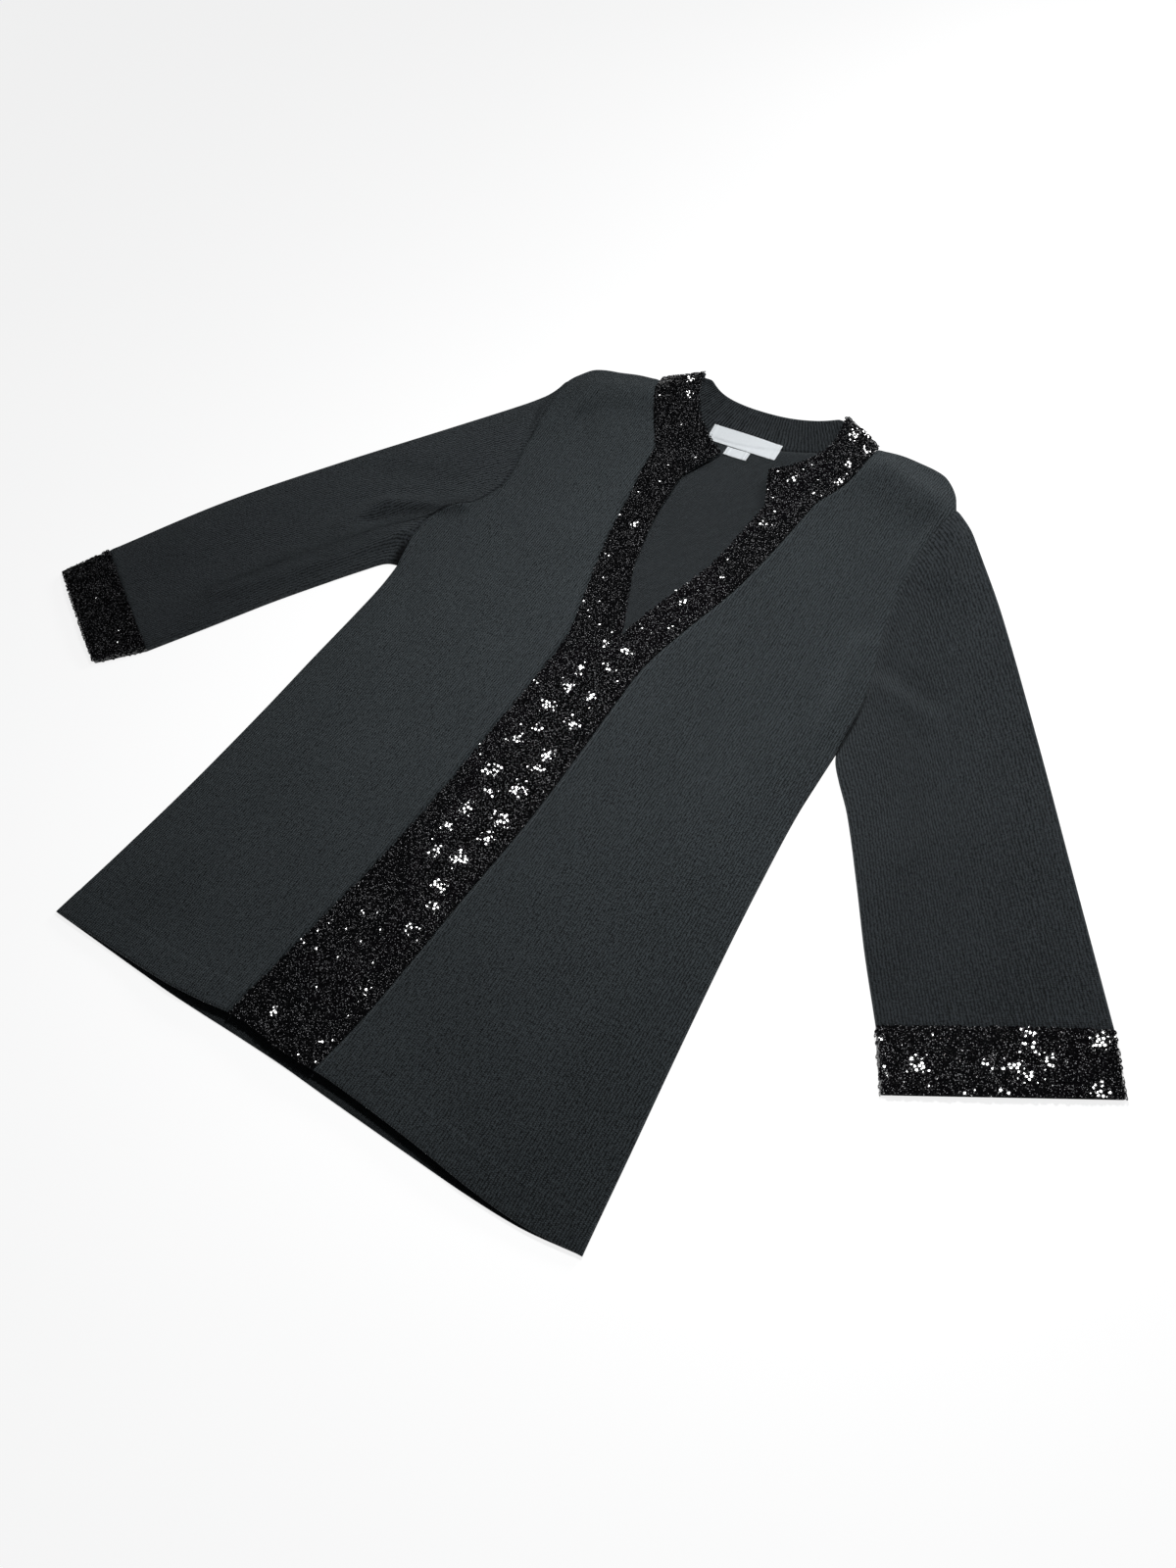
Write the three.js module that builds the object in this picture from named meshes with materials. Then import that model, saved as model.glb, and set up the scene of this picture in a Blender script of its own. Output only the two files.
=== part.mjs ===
// Open-front cardigan in dense black knit with sequinned front bands, cuffs and stand
// collar. It is laid flat on a table, front up, with its sleeves spread.
//
// Millimetres, +Z up, the table is z = 0. x runs to the wearer's left and y from the
// hem to the neck. Names of pieces are the wearer's own right (-x) and left (+x).

import * as THREE from 'three';

// Driving sizes of the garment

const WALL = 2.2; // dense knit, one layer
const SEAM_GAP = 0.3; // between pieces that are sewn together
const LAYER = WALL + SEAM_GAP; // underside of a layer that lies on the back
const BODY_LOFT = 2.2; // how far the fronts stand off the back
const SLEEVE_LOFT = 3.0; // how far a sleeve's two walls stand apart
const LOFT_RUN = 16; // from a folded edge to full loft
const HEM_HALF = 264; // half the hem's width
const UNDERARM_Y = 440; // side seam's length
const SHOULDER_Y = 725; // hem to the outer end of the shoulder seam
const NECK_Y = 766; // hem to the inner end of the shoulder seam
const NECK_X = 121; // half the neck, seam to seam
const SHOULDER_X = 220; // half the shoulders
const BAND_TOP_Y = 679; // where the front band's outer edge meets the collar
const HEM_DEPTH = 25; // turned-up hem
const HEM_STEP = 0.5; // the turned-up layer shows this much
const CUFF_LENGTH = 49;
const CUFF_WIDTH = 155; // laid flat
const ARMHOLE_WIDTH = SHOULDER_Y - UNDERARM_Y;
const SHOULDER_FROM = 667; // rows above this one rise towards the shoulder seam
const HEM_FADE = 80; // the hem's curve fades out by this height
const CURL = 3; // how far a band's free edge curls up above the V
const CURL_FROM = 470; // where that begins

const KNIT = { color: 0x17191b, roughness: 0.95, metalness: 0 };
const RIB_KNIT = { color: 0x1b1d1f, roughness: 0.95, metalness: 0 };
const SEQUINS = { color: 0x0b0c0d, roughness: 0.3, metalness: 0.3 };
const LABEL = { color: 0xe9eaec, roughness: 0.8, metalness: 0 };

// Tables. Each is read by smoothTable as a curve through its rows.

// Side seam up to the underarm, then the armhole seam, as half widths on each hand.
const SIDE = [
  { y: -10, right: 265.5, left: 268 }, { y: 0, right: 264.5, left: 266 },
  { y: 70, right: 254, left: 259.5 }, { y: 150, right: 244, left: 252 },
  { y: 240, right: 236, left: 244.5 }, { y: 310, right: 231.5, left: 240 },
  { y: 370, right: 227, left: 237.5 }, { y: 410, right: 225, left: 238.3 },
  { y: UNDERARM_Y, right: 226.5, left: 239.2 }, { y: 456, right: 229.5, left: 239.2 },
  { y: 480, right: 235, left: 238.8 }, { y: 505, right: 234, left: 236 },
  { y: 530, right: 209, left: 231 }, { y: 555, right: 194.5, left: 224.5 },
  { y: 580, right: 190.5, left: 219 }, { y: 624, right: 200, left: 213.2 },
  { y: 667, right: 207, left: 212.8 }, { y: 690, right: 209.6, left: 215.5 },
  { y: 708, right: 210.8, left: 218 }, { y: SHOULDER_Y, right: 211.5, left: SHOULDER_X },
  { y: 790, right: 211.5, left: SHOULDER_X },
];

// Shoulder seam, from the neck to the sleeve. The left one is puffed up a little.
const SHOULDER = [
  { x: NECK_X, right: NECK_Y, left: NECK_Y }, { x: 145, right: 764, left: 768.8 },
  { x: 165, right: 759.5, left: 767 }, { x: 185, right: 755.5, left: 763.5 },
  { x: 197, right: 748.5, left: 758 }, { x: 211.5, right: SHOULDER_Y, left: 742.5 },
  { x: SHOULDER_X, right: 706, left: SHOULDER_Y },
];

// Back neckline, a little lower towards the wearer's right.
const NECKLINE = [
  { x: -NECK_X, y: NECK_Y }, { x: -100, y: 748 }, { x: -75, y: 731 }, { x: -46, y: 720 },
  { x: -10, y: 718 }, { x: 37, y: 728 }, { x: 75, y: 742 }, { x: 100, y: 753 },
  { x: NECK_X, y: NECK_Y },
];

// The hems of the back and of the fronts, which ride up a little in the middle.
const HEM = [
  { x: -HEM_HALF, back: -2, front: -2 }, { x: -133, back: -6, front: -2 },
  { x: -95, back: -6, front: 1 }, { x: -55, back: -5.5, front: 6 },
  { x: -8, back: -5.5, front: 3 }, { x: 40, back: -7, front: 3.5 },
  { x: 120, back: -9, front: -1 }, { x: 175, back: -10, front: -6 },
  { x: 220, back: -8.5, front: -7 }, { x: HEM_HALF, back: -2, front: -2 },
];

// Seam between each front and its band, then between the front and the collar.
const FRONT_EDGE = [
  { y: -10, right: -66, left: 21 }, { y: 40, right: -62, left: 27 },
  { y: 113, right: -52, left: 33.5 }, { y: 180, right: -42, left: 39 },
  { y: 255, right: -35, left: 46 }, { y: 315, right: -32, left: 48.5 },
  { y: 406, right: -27, left: 50 }, { y: 442, right: -28, left: 52 },
  { y: 487, right: -39, left: 63 }, { y: 552, right: -55, left: 82 },
  { y: 610, right: -65, left: 92 }, { y: 650, right: -72, left: 97 },
  { y: BAND_TOP_Y, right: -76, left: 101 }, { y: 704, right: -92, left: 112 },
  { y: 727, right: -106, left: 118.5 }, { y: 748, right: -116, left: NECK_X },
  { y: NECK_Y, right: -NECK_X, left: NECK_X },
];

// Free edges of the two bands: they touch up to y = 468 and open in a V above it.
const OPENING = [
  { y: -10, right: -20, left: -20 }, { y: 32, right: -14, left: -14 },
  { y: 117, right: -6, left: -6 }, { y: 174, right: -1, left: -1 },
  { y: 237, right: 5, left: 5 }, { y: 287, right: 11, left: 11 },
  { y: 330, right: 14, left: 14 }, { y: 409, right: 14.5, left: 14.5 },
  { y: 440, right: 14.9, left: 14.9 }, { y: 455, right: 14.7, left: 15.3 },
  { y: 468, right: 13.5, left: 18.5 },
  { y: 492, right: 4, left: 26 }, { y: 529, right: -12, left: 39 },
  { y: 561, right: -20, left: 49 }, { y: 596, right: -27, left: 55 },
  { y: 655, right: -31, left: 61 }, { y: 690, right: -32, left: 62 },
];

// How far each row of a band falls from its outer to its free edge.
const BAND_FALL = [
  { y: -10, right: 0, left: 0 }, { y: 430, right: 0, left: 0 }, { y: 487, right: 6, left: 6 },
  { y: 552, right: 10, left: 11 }, { y: 640, right: 16, left: 20 },
  { y: BAND_TOP_Y, right: 21, left: 28 },
];

// Sleeves: the cuff seam's two ends and the cuff opening's, and how far the outer and
// inner edges bow out from straight lines. The wearer's right sleeve isn't quite flat.
const SLEEVES = {
  left: {
    side: 1, loft: SLEEVE_LOFT,
    inner: [368.5, 241], outer: [511.5, 319], innerEnd: [391.5, 198.8], outerEnd: [534, 277.5],
  },
  right: {
    side: -1, loft: SLEEVE_LOFT + 0.8,
    inner: [389.5, 243], outer: [515, 319], innerEnd: [427.5, 208.2], outerEnd: [540, 276.5],
  },
};
const SLEEVE_BOW = [
  { s: 0, leftOuter: 0, leftInner: 0, rightOuter: 0, rightInner: 0 },
  { s: 0.03, leftOuter: 4.5, leftInner: -1.5, rightOuter: -7.5, rightInner: 7 },
  { s: 0.06, leftOuter: 7.5, leftInner: -2, rightOuter: -11, rightInner: 9.5 },
  { s: 0.12, leftOuter: 9.5, leftInner: -1.2, rightOuter: -10.5, rightInner: 10 },
  { s: 0.25, leftOuter: 11.5, leftInner: 1.5, rightOuter: -6, rightInner: 10 },
  { s: 0.5, leftOuter: 9, leftInner: 1, rightOuter: 3.4, rightInner: 8.5 },
  { s: 0.75, leftOuter: 4.5, leftInner: -0.5, rightOuter: 8.2, rightInner: 4 },
  { s: 1, leftOuter: 0, leftInner: 0, rightOuter: 0, rightInner: 0 },
];

// Soft folds of the upper layer. Each is a ridge, or a trough where its height is
// negative, along the line from one point to the other.
const FOLDS = [
  { name: 'hem lift right', x1: -105, y1: -10, x2: -25, y2: -10, height: 7, width: 48 },
  { name: 'hem lift left', x1: 45, y1: -12, x2: 150, y2: -12, height: 6, width: 46 },
  { name: 'shoulder right', x1: -172, y1: 726, x2: -125, y2: 738, height: 8, width: 24 },
  { name: 'shoulder left', x1: 194, y1: 722, x2: 140, y2: 742, height: 10, width: 24 },
  { name: 'chest dimple right', x1: -163, y1: 684, x2: -156, y2: 664, height: -3, width: 10 },
  { name: 'armhole swell right', x1: -196, y1: 664, x2: -184, y2: 700, height: 3, width: 20 },
  { name: 'sleeve head left', x1: 236, y1: 650, x2: 232, y2: 690, height: 6, width: 22 },
  { name: 'sleeve head crease', x1: -214, y1: 668, x2: -205, y2: 636, height: -2, width: 6 },
  { name: 'armhole ridge right', x1: -211, y1: 526, x2: -281, y2: 497, height: 5, width: 8 },
  { name: 'ridge turns down', x1: -289, y1: 490, x2: -309, y2: 455, height: 3, width: 10 },
  { name: 'crease below it', x1: -224, y1: 508, x2: -282, y2: 470, height: -4, width: 8 },
  { name: 'trough above it', x1: -252, y1: 548, x2: -336, y2: 526, height: -2.5, width: 15 },
  { name: 'upper arm ridge', x1: -242, y1: 470, x2: -300, y2: 398, height: 3.5, width: 8 },
  { name: 'lower arm ridge', x1: -306, y1: 391, x2: -368, y2: 326, height: 3, width: 9 },
  { name: 'soft arm ridge', x1: -256, y1: 474, x2: -322, y2: 436, height: 2, width: 12 },
  { name: 'side trough right', x1: -208, y1: 428, x2: -178, y2: 392, height: -3, width: 13 },
  { name: 'armhole roll left', x1: 224, y1: 455, x2: 212, y2: 545, height: 3.5, width: 12 },
  { name: 'sleeve crease left', x1: 242, y1: 533, x2: 284, y2: 521, height: -3, width: 10 },
  { name: 'sleeve ridge left', x1: 242, y1: 511, x2: 290, y2: 500, height: 2.5, width: 12 },
  { name: 'side roll right', x1: -205, y1: 60, x2: -190, y2: 330, height: 1.8, width: 26 },
  { name: 'side roll left', x1: 200, y1: 40, x2: 188, y2: 350, height: 1.8, width: 26 },
  { name: 'elbow left', x1: 392, y1: 455, x2: 330, y2: 375, height: 2, width: 20 },
];

// Collar: a strip that runs from the wearer's right front round the back to the left
// front. Its lower edge is sewn to the neck; these rows give its free edge.
const COLLAR_RIGHT = [
  { seamX: -31, seamY: 658, freeX: -10, freeY: 695, freeZ: 9.5 },
  { seamX: -54, seamY: 669, freeX: -20, freeY: 701, freeZ: 10 },
  { seamX: -76, seamY: BAND_TOP_Y, freeX: -31, freeY: 708, freeZ: 11 },
  { seamX: -92, seamY: 704, freeX: -43, freeY: 719, freeZ: 12 },
  { seamX: -106, seamY: 727, freeX: -55, freeY: 733, freeZ: 13 },
  { seamX: -116, seamY: 748, freeX: -68, freeY: 756, freeZ: 14 },
];
const COLLAR_LEFT = [
  { seamX: 61, seamY: 651, freeX: 43, freeY: 694, freeZ: 9.5 },
  { seamX: 81, seamY: 665, freeX: 54, freeY: 701, freeZ: 10 },
  { seamX: 101, seamY: BAND_TOP_Y, freeX: 65, freeY: 711, freeZ: 11 },
  { seamX: 112, seamY: 704, freeX: 76, freeY: 726, freeZ: 12 },
  { seamX: 118.5, seamY: 727, freeX: 84, freeY: 745, freeZ: 13 },
  { seamX: NECK_X, seamY: 748, freeX: 84, freeY: 766, freeZ: 14 },
];
const COLLAR_BACK = [
  { seamX: -100, freeX: -68, freeY: 782, freeZ: 8 },
  { seamX: -75, freeX: -52, freeY: 772, freeZ: 7 },
  { seamX: -46, freeX: -35, freeY: 767, freeZ: 6 },
  { seamX: -10, freeX: -9, freeY: 765, freeZ: 5.5 },
  { seamX: 37, freeX: 26, freeY: 767, freeZ: 6 },
  { seamX: 75, freeX: 54, freeY: 774, freeZ: 7 },
  { seamX: 100, freeX: 73, freeY: 783, freeZ: 8 },
];
const COLLAR_BACK_HALF = 100; // the back rows run this far to each hand
const COLLAR_FOLD = {
  right: { cornerX: -78, cornerY: 783 }, left: { cornerX: 80, cornerY: 783 },
  seamIn: 1, seamUp: 1.5, seamRadius: 1.7, cornerRadius: 3, cornerZ: 10, turns: 4,
};
const COLLAR_SEAM_GAP = SEAM_GAP * 1.5; // measured straight up the garment
const COLLAR_SEAM_Z = 4.4; // the least height of the seam's middle at the fronts
const COLLAR_ACROSS = [0, 0.3, 0.65, 1];

// Blank woven labels at the back neck: the neck label and the small size tab below it.
const LABEL_WALL = 0.5;
const LABEL_STEP = 1.4; // from the back up onto the ribs of the collar
const LABEL_STEP_RUN = 3; // that step's length
const LABEL_SLOPE = 0.14; // the collar's rise towards its free edge
const LABEL_COLUMNS = [0, 0.1, 0.25, 0.4, 0.55, 0.7, 0.85, 1];
const LABEL_ROWS = [0, 0.25, 0.5, 0.75, 1];
const LABELS = [
  { name: 'neck_label', x: 0.5, y: 722, width: 75, height: 19, tilt: 0.02 },
  { name: 'size_tab', x: 0.5, y: 706.2, width: 25, height: 11, tilt: 0.03 },
];
const RIBS = 44; // ribs that show round the back of the neck
const RIB_HEIGHT = 0.7;

// Rows and columns of the panels. The armhole rows are shared with the sleeves, and one
// of them meets the front edge where the band ends and the collar begins.
const LOWER_ROWS = [0, 0.056, 0.064, 0.12, 0.19, 0.26, 0.33, 0.4, 0.47, 0.54, 0.61, 0.68, 0.75,
  0.82, 0.89, 0.95, 1];
const BAND_TOP_ROW = BAND_TOP_Y * SHOULDER_Y / NECK_Y;
const ARMHOLE_Y = [UNDERARM_Y, 456, 480, 505, 530, 555, 580, 605, 624, BAND_TOP_ROW,
  SHOULDER_FROM, 688, 708, SHOULDER_Y];
const HEM_STEPS = 18;
const FRONT_COLUMNS = [0, 0.035, 0.09, 0.18, 0.3, 0.43, 0.57, 0.71, 0.86, 1];
const BAND_COLUMNS = [0, 0.33, 0.67, 1];
const SHOULDER_COLUMNS = [0.92, 0.84, 0.74, 0.64, 0.44, 0.24]; // shares from the neck outwards
const CUFF_STATIONS = [0, 0.34, 0.67, 1];
const NECK_COLUMNS = [-NECK_X, -110, -100, -87, -75, -60, -46, -28, -10, 14, 37, 56, 75, 88, 100,
  111, NECK_X];
const SLEEVE_STATIONS = [0, 0.03, 0.06, 0.09, 0.12, 0.16, 0.21, 0.26, 0.33, 0.42, 0.52, 0.62,
  0.72, 0.82, 0.91, 1];

// Curves and tables

// A smooth curve through a table: the column out as a function of the column key.
function smoothTable(rows, key, out) {
  const slope = (a, b) => (b[out] - a[out]) / (b[key] - a[key]);
  return (at) => {
    let i = rows.findIndex((row) => at <= row[key]);
    i = i < 0 ? rows.length - 1 : Math.max(i, 1);
    const [a, b] = [rows[i - 1], rows[i]];
    const span = b[key] - a[key];
    const t = Math.min(Math.max((at - a[key]) / span, 0), 1);
    const startSlope = i > 1 ? slope(rows[i - 2], b) : slope(a, b);
    const endSlope = i < rows.length - 1 ? slope(a, rows[i + 1]) : slope(a, b);
    const t2 = t * t;
    const t3 = t2 * t;
    return a[out] * (2 * t3 - 3 * t2 + 1) + b[out] * (3 * t2 - 2 * t3)
      + span * (startSlope * (t3 - 2 * t2 + t) + endSlope * (t3 - t2));
  };
}

// The straight lines that join a curve's points at the given stations.
function straightBetween(stations, curve) {
  return (at) => {
    const found = stations.findIndex((station) => at <= station);
    const i = found < 0 ? stations.length - 1 : Math.max(found, 1);
    const [a, b] = [stations[i - 1], stations[i]];
    return mix(curve(a), curve(b), (at - a) / (b - a));
  };
}

// A table that has one column for each hand.
function bothHands(rows, key) {
  return { right: smoothTable(rows, key, 'right'), left: smoothTable(rows, key, 'left') };
}

const handOf = (x) => (x < 0 ? 'right' : 'left');

const mix = (a, b, t) => a + (b - a) * t;
const mixPoint = (a, b, t) => a.map((value, i) => mix(value, b[i], t));

const sideAt = bothHands(SIDE, 'y');
const armholeAt = {
  right: straightBetween(ARMHOLE_Y, sideAt.right), left: straightBetween(ARMHOLE_Y, sideAt.left),
};
const shoulderAt = bothHands(SHOULDER, 'x');
const necklineAt = smoothTable(NECKLINE, 'x', 'y');
const neckSeamAt = straightBetween(NECK_COLUMNS, necklineAt);
const backHemAt = smoothTable(HEM, 'x', 'back');
const frontHemAt = smoothTable(HEM, 'x', 'front');
const bandFallAt = bothHands(BAND_FALL, 'y');
const frontEdgeAt = bothHands(FRONT_EDGE, 'y');
const openingAt = bothHands(OPENING, 'y');

// Height of the upper layer

function distanceToLine(x, y, line) {
  const dx = line.x2 - line.x1;
  const dy = line.y2 - line.y1;
  const along = ((x - line.x1) * dx + (y - line.y1) * dy) / (dx * dx + dy * dy);
  const t = Math.min(Math.max(along, 0), 1);
  return Math.hypot(x - line.x1 - dx * t, y - line.y1 - dy * t);
}

function foldsAt(x, y) {
  return FOLDS.reduce((sum, fold) => {
    const d = distanceToLine(x, y, fold) / fold.width;
    return sum + fold.height * Math.exp(-d * d);
  }, 0);
}

// Rises from 0 at a folded edge to 1 well inside it.
const openUp = (distance) => 1 - Math.exp(-Math.max(distance, 0) / LOFT_RUN);

// How far a point of the body is from the side seam and the shoulder seam.
function insideBody(x, y) {
  const across = Math.abs(x);
  const hand = handOf(x);
  const underarm = sideAt[hand](UNDERARM_Y);
  const fromSide = y < UNDERARM_Y
    ? sideAt[hand](y) - across
    : Math.hypot(Math.max(underarm - across, 0), y - UNDERARM_Y);
  const fromShoulder = shoulderAt[hand](Math.max(across, NECK_X)) - y;
  return Math.min(fromSide, Math.max(fromShoulder, 0));
}

// Never below 0, and smooth where it comes near it.
function softFloor(value) {
  const soft = 1.2;
  const smooth = (value + Math.hypot(value, soft)) / 2;
  return smooth - (soft / 2) * (1 - Math.exp(-value * value));
}

function upperLayer(x, y, loft, distance) {
  return LAYER + Math.max(softFloor(loft + foldsAt(x, y)), 0) * openUp(distance);
}

const bodyHeight = (x, y) => upperLayer(x, y, BODY_LOFT, insideBody(x, y));

// Solids from grids of points

// A closed body from rings of points: each ring closes on itself, the rings join in
// order, and the last joins the first unless the ends are capped.
function solid(name, look, rings, { capped }) {
  const count = rings[0].length;
  const position = rings.flat(2);
  const index = [];
  const last = capped ? rings.length - 1 : rings.length;
  for (let i = 0; i < last; i += 1) {
    const next = (i + 1) % rings.length;
    for (let j = 0; j < count; j += 1) {
      const k = (j + 1) % count;
      const corners = [i * count + j, i * count + k, next * count + k, next * count + j];
      index.push(corners[0], corners[1], corners[2], corners[0], corners[2], corners[3]);
    }
  }
  const geometry = new THREE.BufferGeometry();
  geometry.setAttribute('position', new THREE.Float32BufferAttribute(position, 3));
  geometry.setIndex(index);
  return finish(name, look, geometry);
}

// Turns the faces outwards if they point in, and names the mesh.
function finish(name, look, geometry) {
  const position = geometry.attributes.position;
  const index = geometry.index.array;
  const [a, b, c] = [new THREE.Vector3(), new THREE.Vector3(), new THREE.Vector3()];
  let volume = 0;
  for (let i = 0; i < index.length; i += 3) {
    a.fromBufferAttribute(position, index[i]);
    b.fromBufferAttribute(position, index[i + 1]);
    c.fromBufferAttribute(position, index[i + 2]);
    volume += a.dot(b.cross(c));
  }
  if (volume < 0) {
    geometry.setIndex(Array.from(index).reverse());
  }
  geometry.computeVertexNormals();
  const mesh = new THREE.Mesh(geometry, new THREE.MeshStandardMaterial(look));
  mesh.name = name;
  return mesh;
}

// A wall between two grids of points that match row by row and column by column.
function wall(name, look, upper, lower) {
  const rows = upper.length;
  const columns = upper[0].length;
  const position = [...upper.flat(2), ...lower.flat(2)];
  const top = (i, j) => i * columns + j;
  const under = (i, j) => rows * columns + i * columns + j;
  const index = [];
  const quad = (p, q, r, s) => index.push(p, q, r, p, r, s);
  for (let i = 0; i < rows - 1; i += 1) {
    for (let j = 0; j < columns - 1; j += 1) {
      quad(top(i, j), top(i, j + 1), top(i + 1, j + 1), top(i + 1, j));
      quad(under(i, j), under(i + 1, j), under(i + 1, j + 1), under(i, j + 1));
    }
    quad(top(i, 0), top(i + 1, 0), under(i + 1, 0), under(i, 0));
    const end = columns - 1;
    quad(top(i, end), under(i, end), under(i + 1, end), top(i + 1, end));
  }
  for (let j = 0; j < columns - 1; j += 1) {
    quad(top(0, j), under(0, j), under(0, j + 1), top(0, j + 1));
    const end = rows - 1;
    quad(top(end, j), top(end, j + 1), under(end, j + 1), under(end, j));
  }
  const geometry = new THREE.BufferGeometry();
  geometry.setAttribute('position', new THREE.Float32BufferAttribute(position, 3));
  geometry.setIndex(index);
  return finish(name, look, geometry);
}

// Back

// One flat layer on the table: hem, sides, armholes, shoulders and neckline.
function makeBack() {
  const half = (hand) => [
    ...bodyRows().map((y) => [sideAt[hand](y), y]),
    ...SHOULDER_COLUMNS.map((share) => {
      const x = mix(NECK_X, sideAt[hand](SHOULDER_Y), share);
      return [x, shoulderAt[hand](x)];
    }),
  ];
  const neck = NECK_COLUMNS.map((x) => [x, necklineAt(x)]).reverse();
  const hem = Array.from({ length: HEM_STEPS - 1 }, (_, i) => {
    const x = mix(-HEM_HALF, HEM_HALF, (i + 1) / HEM_STEPS);
    return [x, backHemAt(x)];
  });
  const rightHalf = half('right').reverse().map(([x, y]) => [-x, y]);
  const outline = [...half('left'), ...neck, ...rightHalf, ...hem];
  const shape = new THREE.Shape(outline.map(([x, y]) => new THREE.Vector2(x, y)));
  const geometry = new THREE.ExtrudeGeometry(shape, { depth: WALL, bevelEnabled: false });
  const mesh = new THREE.Mesh(geometry, new THREE.MeshStandardMaterial(KNIT));
  mesh.name = 'back';
  return mesh;
}

// Rows of the side seam and the armhole, from the hem to the shoulder.
function bodyRows() {
  return [...LOWER_ROWS.map((t) => t * UNDERARM_Y), ...ARMHOLE_Y.slice(1)];
}

// Fronts and bands

// A point of a front: t is 0 at the side and 1 at the band or collar seam.
function frontPoint(hand, rowY, t) {
  const sign = hand === 'left' ? 1 : -1;
  const innerY = rowY * NECK_Y / SHOULDER_Y;
  const outerX = sign * sideAt[hand](rowY);
  const innerX = frontEdgeAt[hand](innerY) + sign * SEAM_GAP / 2;
  const x = mix(outerX, innerX, t);
  let y = mix(rowY, innerY, t);
  if (rowY > SHOULDER_FROM) {
    const onShoulder = shoulderAt[hand](Math.max(Math.abs(x), NECK_X));
    const straight = mix(SHOULDER_Y, NECK_Y, t);
    const lift = (rowY - SHOULDER_FROM) / (SHOULDER_Y - SHOULDER_FROM);
    y += (onShoulder - straight) * lift;
  }
  return [x, y + frontHemAt(x) * hemShare(y)];
}

// How much of the hem's curve a row takes.
const hemShare = (y) => Math.max(1 - y / HEM_FADE, 0);

const hemStep = (y) => (y < HEM_DEPTH ? HEM_STEP : 0);

function makeFront(hand) {
  const grid = (rise) => bodyRows().map((rowY) => FRONT_COLUMNS.map((t) => {
    const [x, y] = frontPoint(hand, rowY, t);
    return [x, y, bodyHeight(x, y) + (rise ? WALL + hemStep(rowY) : 0)];
  }));
  return wall(`front_${hand}`, KNIT, grid(true), grid(false));
}

// A band's row: t is 0 at the seam with the front and 1 at the free edge. The free
// edge curls up a little above the V.
function bandPoint(hand, rowY, t) {
  const sign = hand === 'left' ? 1 : -1;
  const innerY = rowY * NECK_Y / SHOULDER_Y;
  const freeY = innerY - bandFallAt[hand](innerY);
  const seamX = frontEdgeAt[hand](innerY) - sign * SEAM_GAP / 2;
  const freeX = openingAt[hand](freeY) + sign * SEAM_GAP / 2;
  const x = mix(seamX, freeX, t);
  const level = mix(innerY, freeY, t);
  const y = level + frontHemAt(x) * hemShare(level);
  const curl = CURL * t * t * openUp(innerY - CURL_FROM);
  return [x, y, bodyHeight(x, y) + curl];
}

function makeBand(hand) {
  const rows = bodyRows().filter((y) => y <= BAND_TOP_ROW);
  const grid = (rise) => rows.map((rowY) => BAND_COLUMNS.map((t) => {
    const [x, y, z] = bandPoint(hand, rowY, t);
    return [x, y, z + rise];
  }));
  return wall(`band_${hand}`, SEQUINS, grid(WALL), grid(0));
}

// Sleeves and cuffs

const sleeveBow = {
  left: {
    outer: smoothTable(SLEEVE_BOW, 's', 'leftOuter'),
    inner: smoothTable(SLEEVE_BOW, 's', 'leftInner'),
  },
  right: {
    outer: smoothTable(SLEEVE_BOW, 's', 'rightOuter'),
    inner: smoothTable(SLEEVE_BOW, 's', 'rightInner'),
  },
};

// Shares across a sleeve of the armhole's rows, from the underarm to the shoulder.
const ARMHOLE_Q = ARMHOLE_Y.map((y) => (y - UNDERARM_Y) / ARMHOLE_WIDTH);

// Plan of a sleeve: q is 0 at the underarm edge and 1 at the outer edge, s is 0 at the
// armhole and 1 at the cuff seam.
function sleevePlan(hand, q, s) {
  const cut = SLEEVES[hand];
  const rowY = mix(UNDERARM_Y, SHOULDER_Y, q);
  const start = [armholeAt[hand](rowY) + SEAM_GAP, rowY];
  const end = mixPoint(cut.inner, cut.outer, q);
  const across = sleeveAcross(cut);
  const bow = mix(sleeveBow[hand].inner(s), sleeveBow[hand].outer(s), q);
  const [x, y] = mixPoint(start, end, s);
  return [cut.side * (x + across[0] * bow), y + across[1] * bow];
}

// Unit vector across a sleeve, from its inner to its outer edge.
function sleeveAcross(cut) {
  const dx = cut.outer[0] - cut.inner[0];
  const dy = cut.outer[1] - cut.inner[1];
  const length = Math.hypot(dx, dy);
  return [dx / length, dy / length];
}

// The sleeve's top starts level with the body's and is its own past the sleeve head.
function sleeveHeight(hand, q, s, x, y) {
  const narrowBy = 0.25;
  const headEnds = 0.1;
  const width = mix(ARMHOLE_WIDTH, CUFF_WIDTH, Math.min(s / narrowBy, 1));
  const onSleeve = upperLayer(x, y, SLEEVES[hand].loft, Math.min(q, 1 - q) * width);
  return mix(bodyHeight(x, y), onSleeve, Math.min(s / headEnds, 1));
}

// A flattened ring: over the top from the inner to the outer edge and back below, with
// one point standing out at each folded edge. The inside ring is a wall's width in.
function flatRing(plan, height, width, inside, roundness) {
  const margin = inside ? WALL / width : 0;
  const edge = inside ? margin / 2 : -roundness / width;
  const middle = LAYER - SEAM_GAP / 2;
  const shares = ARMHOLE_Q.map((q) => Math.min(Math.max(q, margin), 1 - margin));
  const top = shares.map((q) => [...plan(q), height(q) + (inside ? 0 : WALL)]);
  const bottom = shares.map((q) => [...plan(q), inside ? WALL : 0]).reverse();
  return [[...plan(edge), middle], ...top, [...plan(1 - edge), middle], ...bottom];
}

// Joins outer and inner rings into a tube that is open at both ends.
function tube(name, look, outer, inner) {
  const rings = [...outer, ...inner.slice().reverse()];
  return solid(name, look, rings, { capped: false });
}

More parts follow.
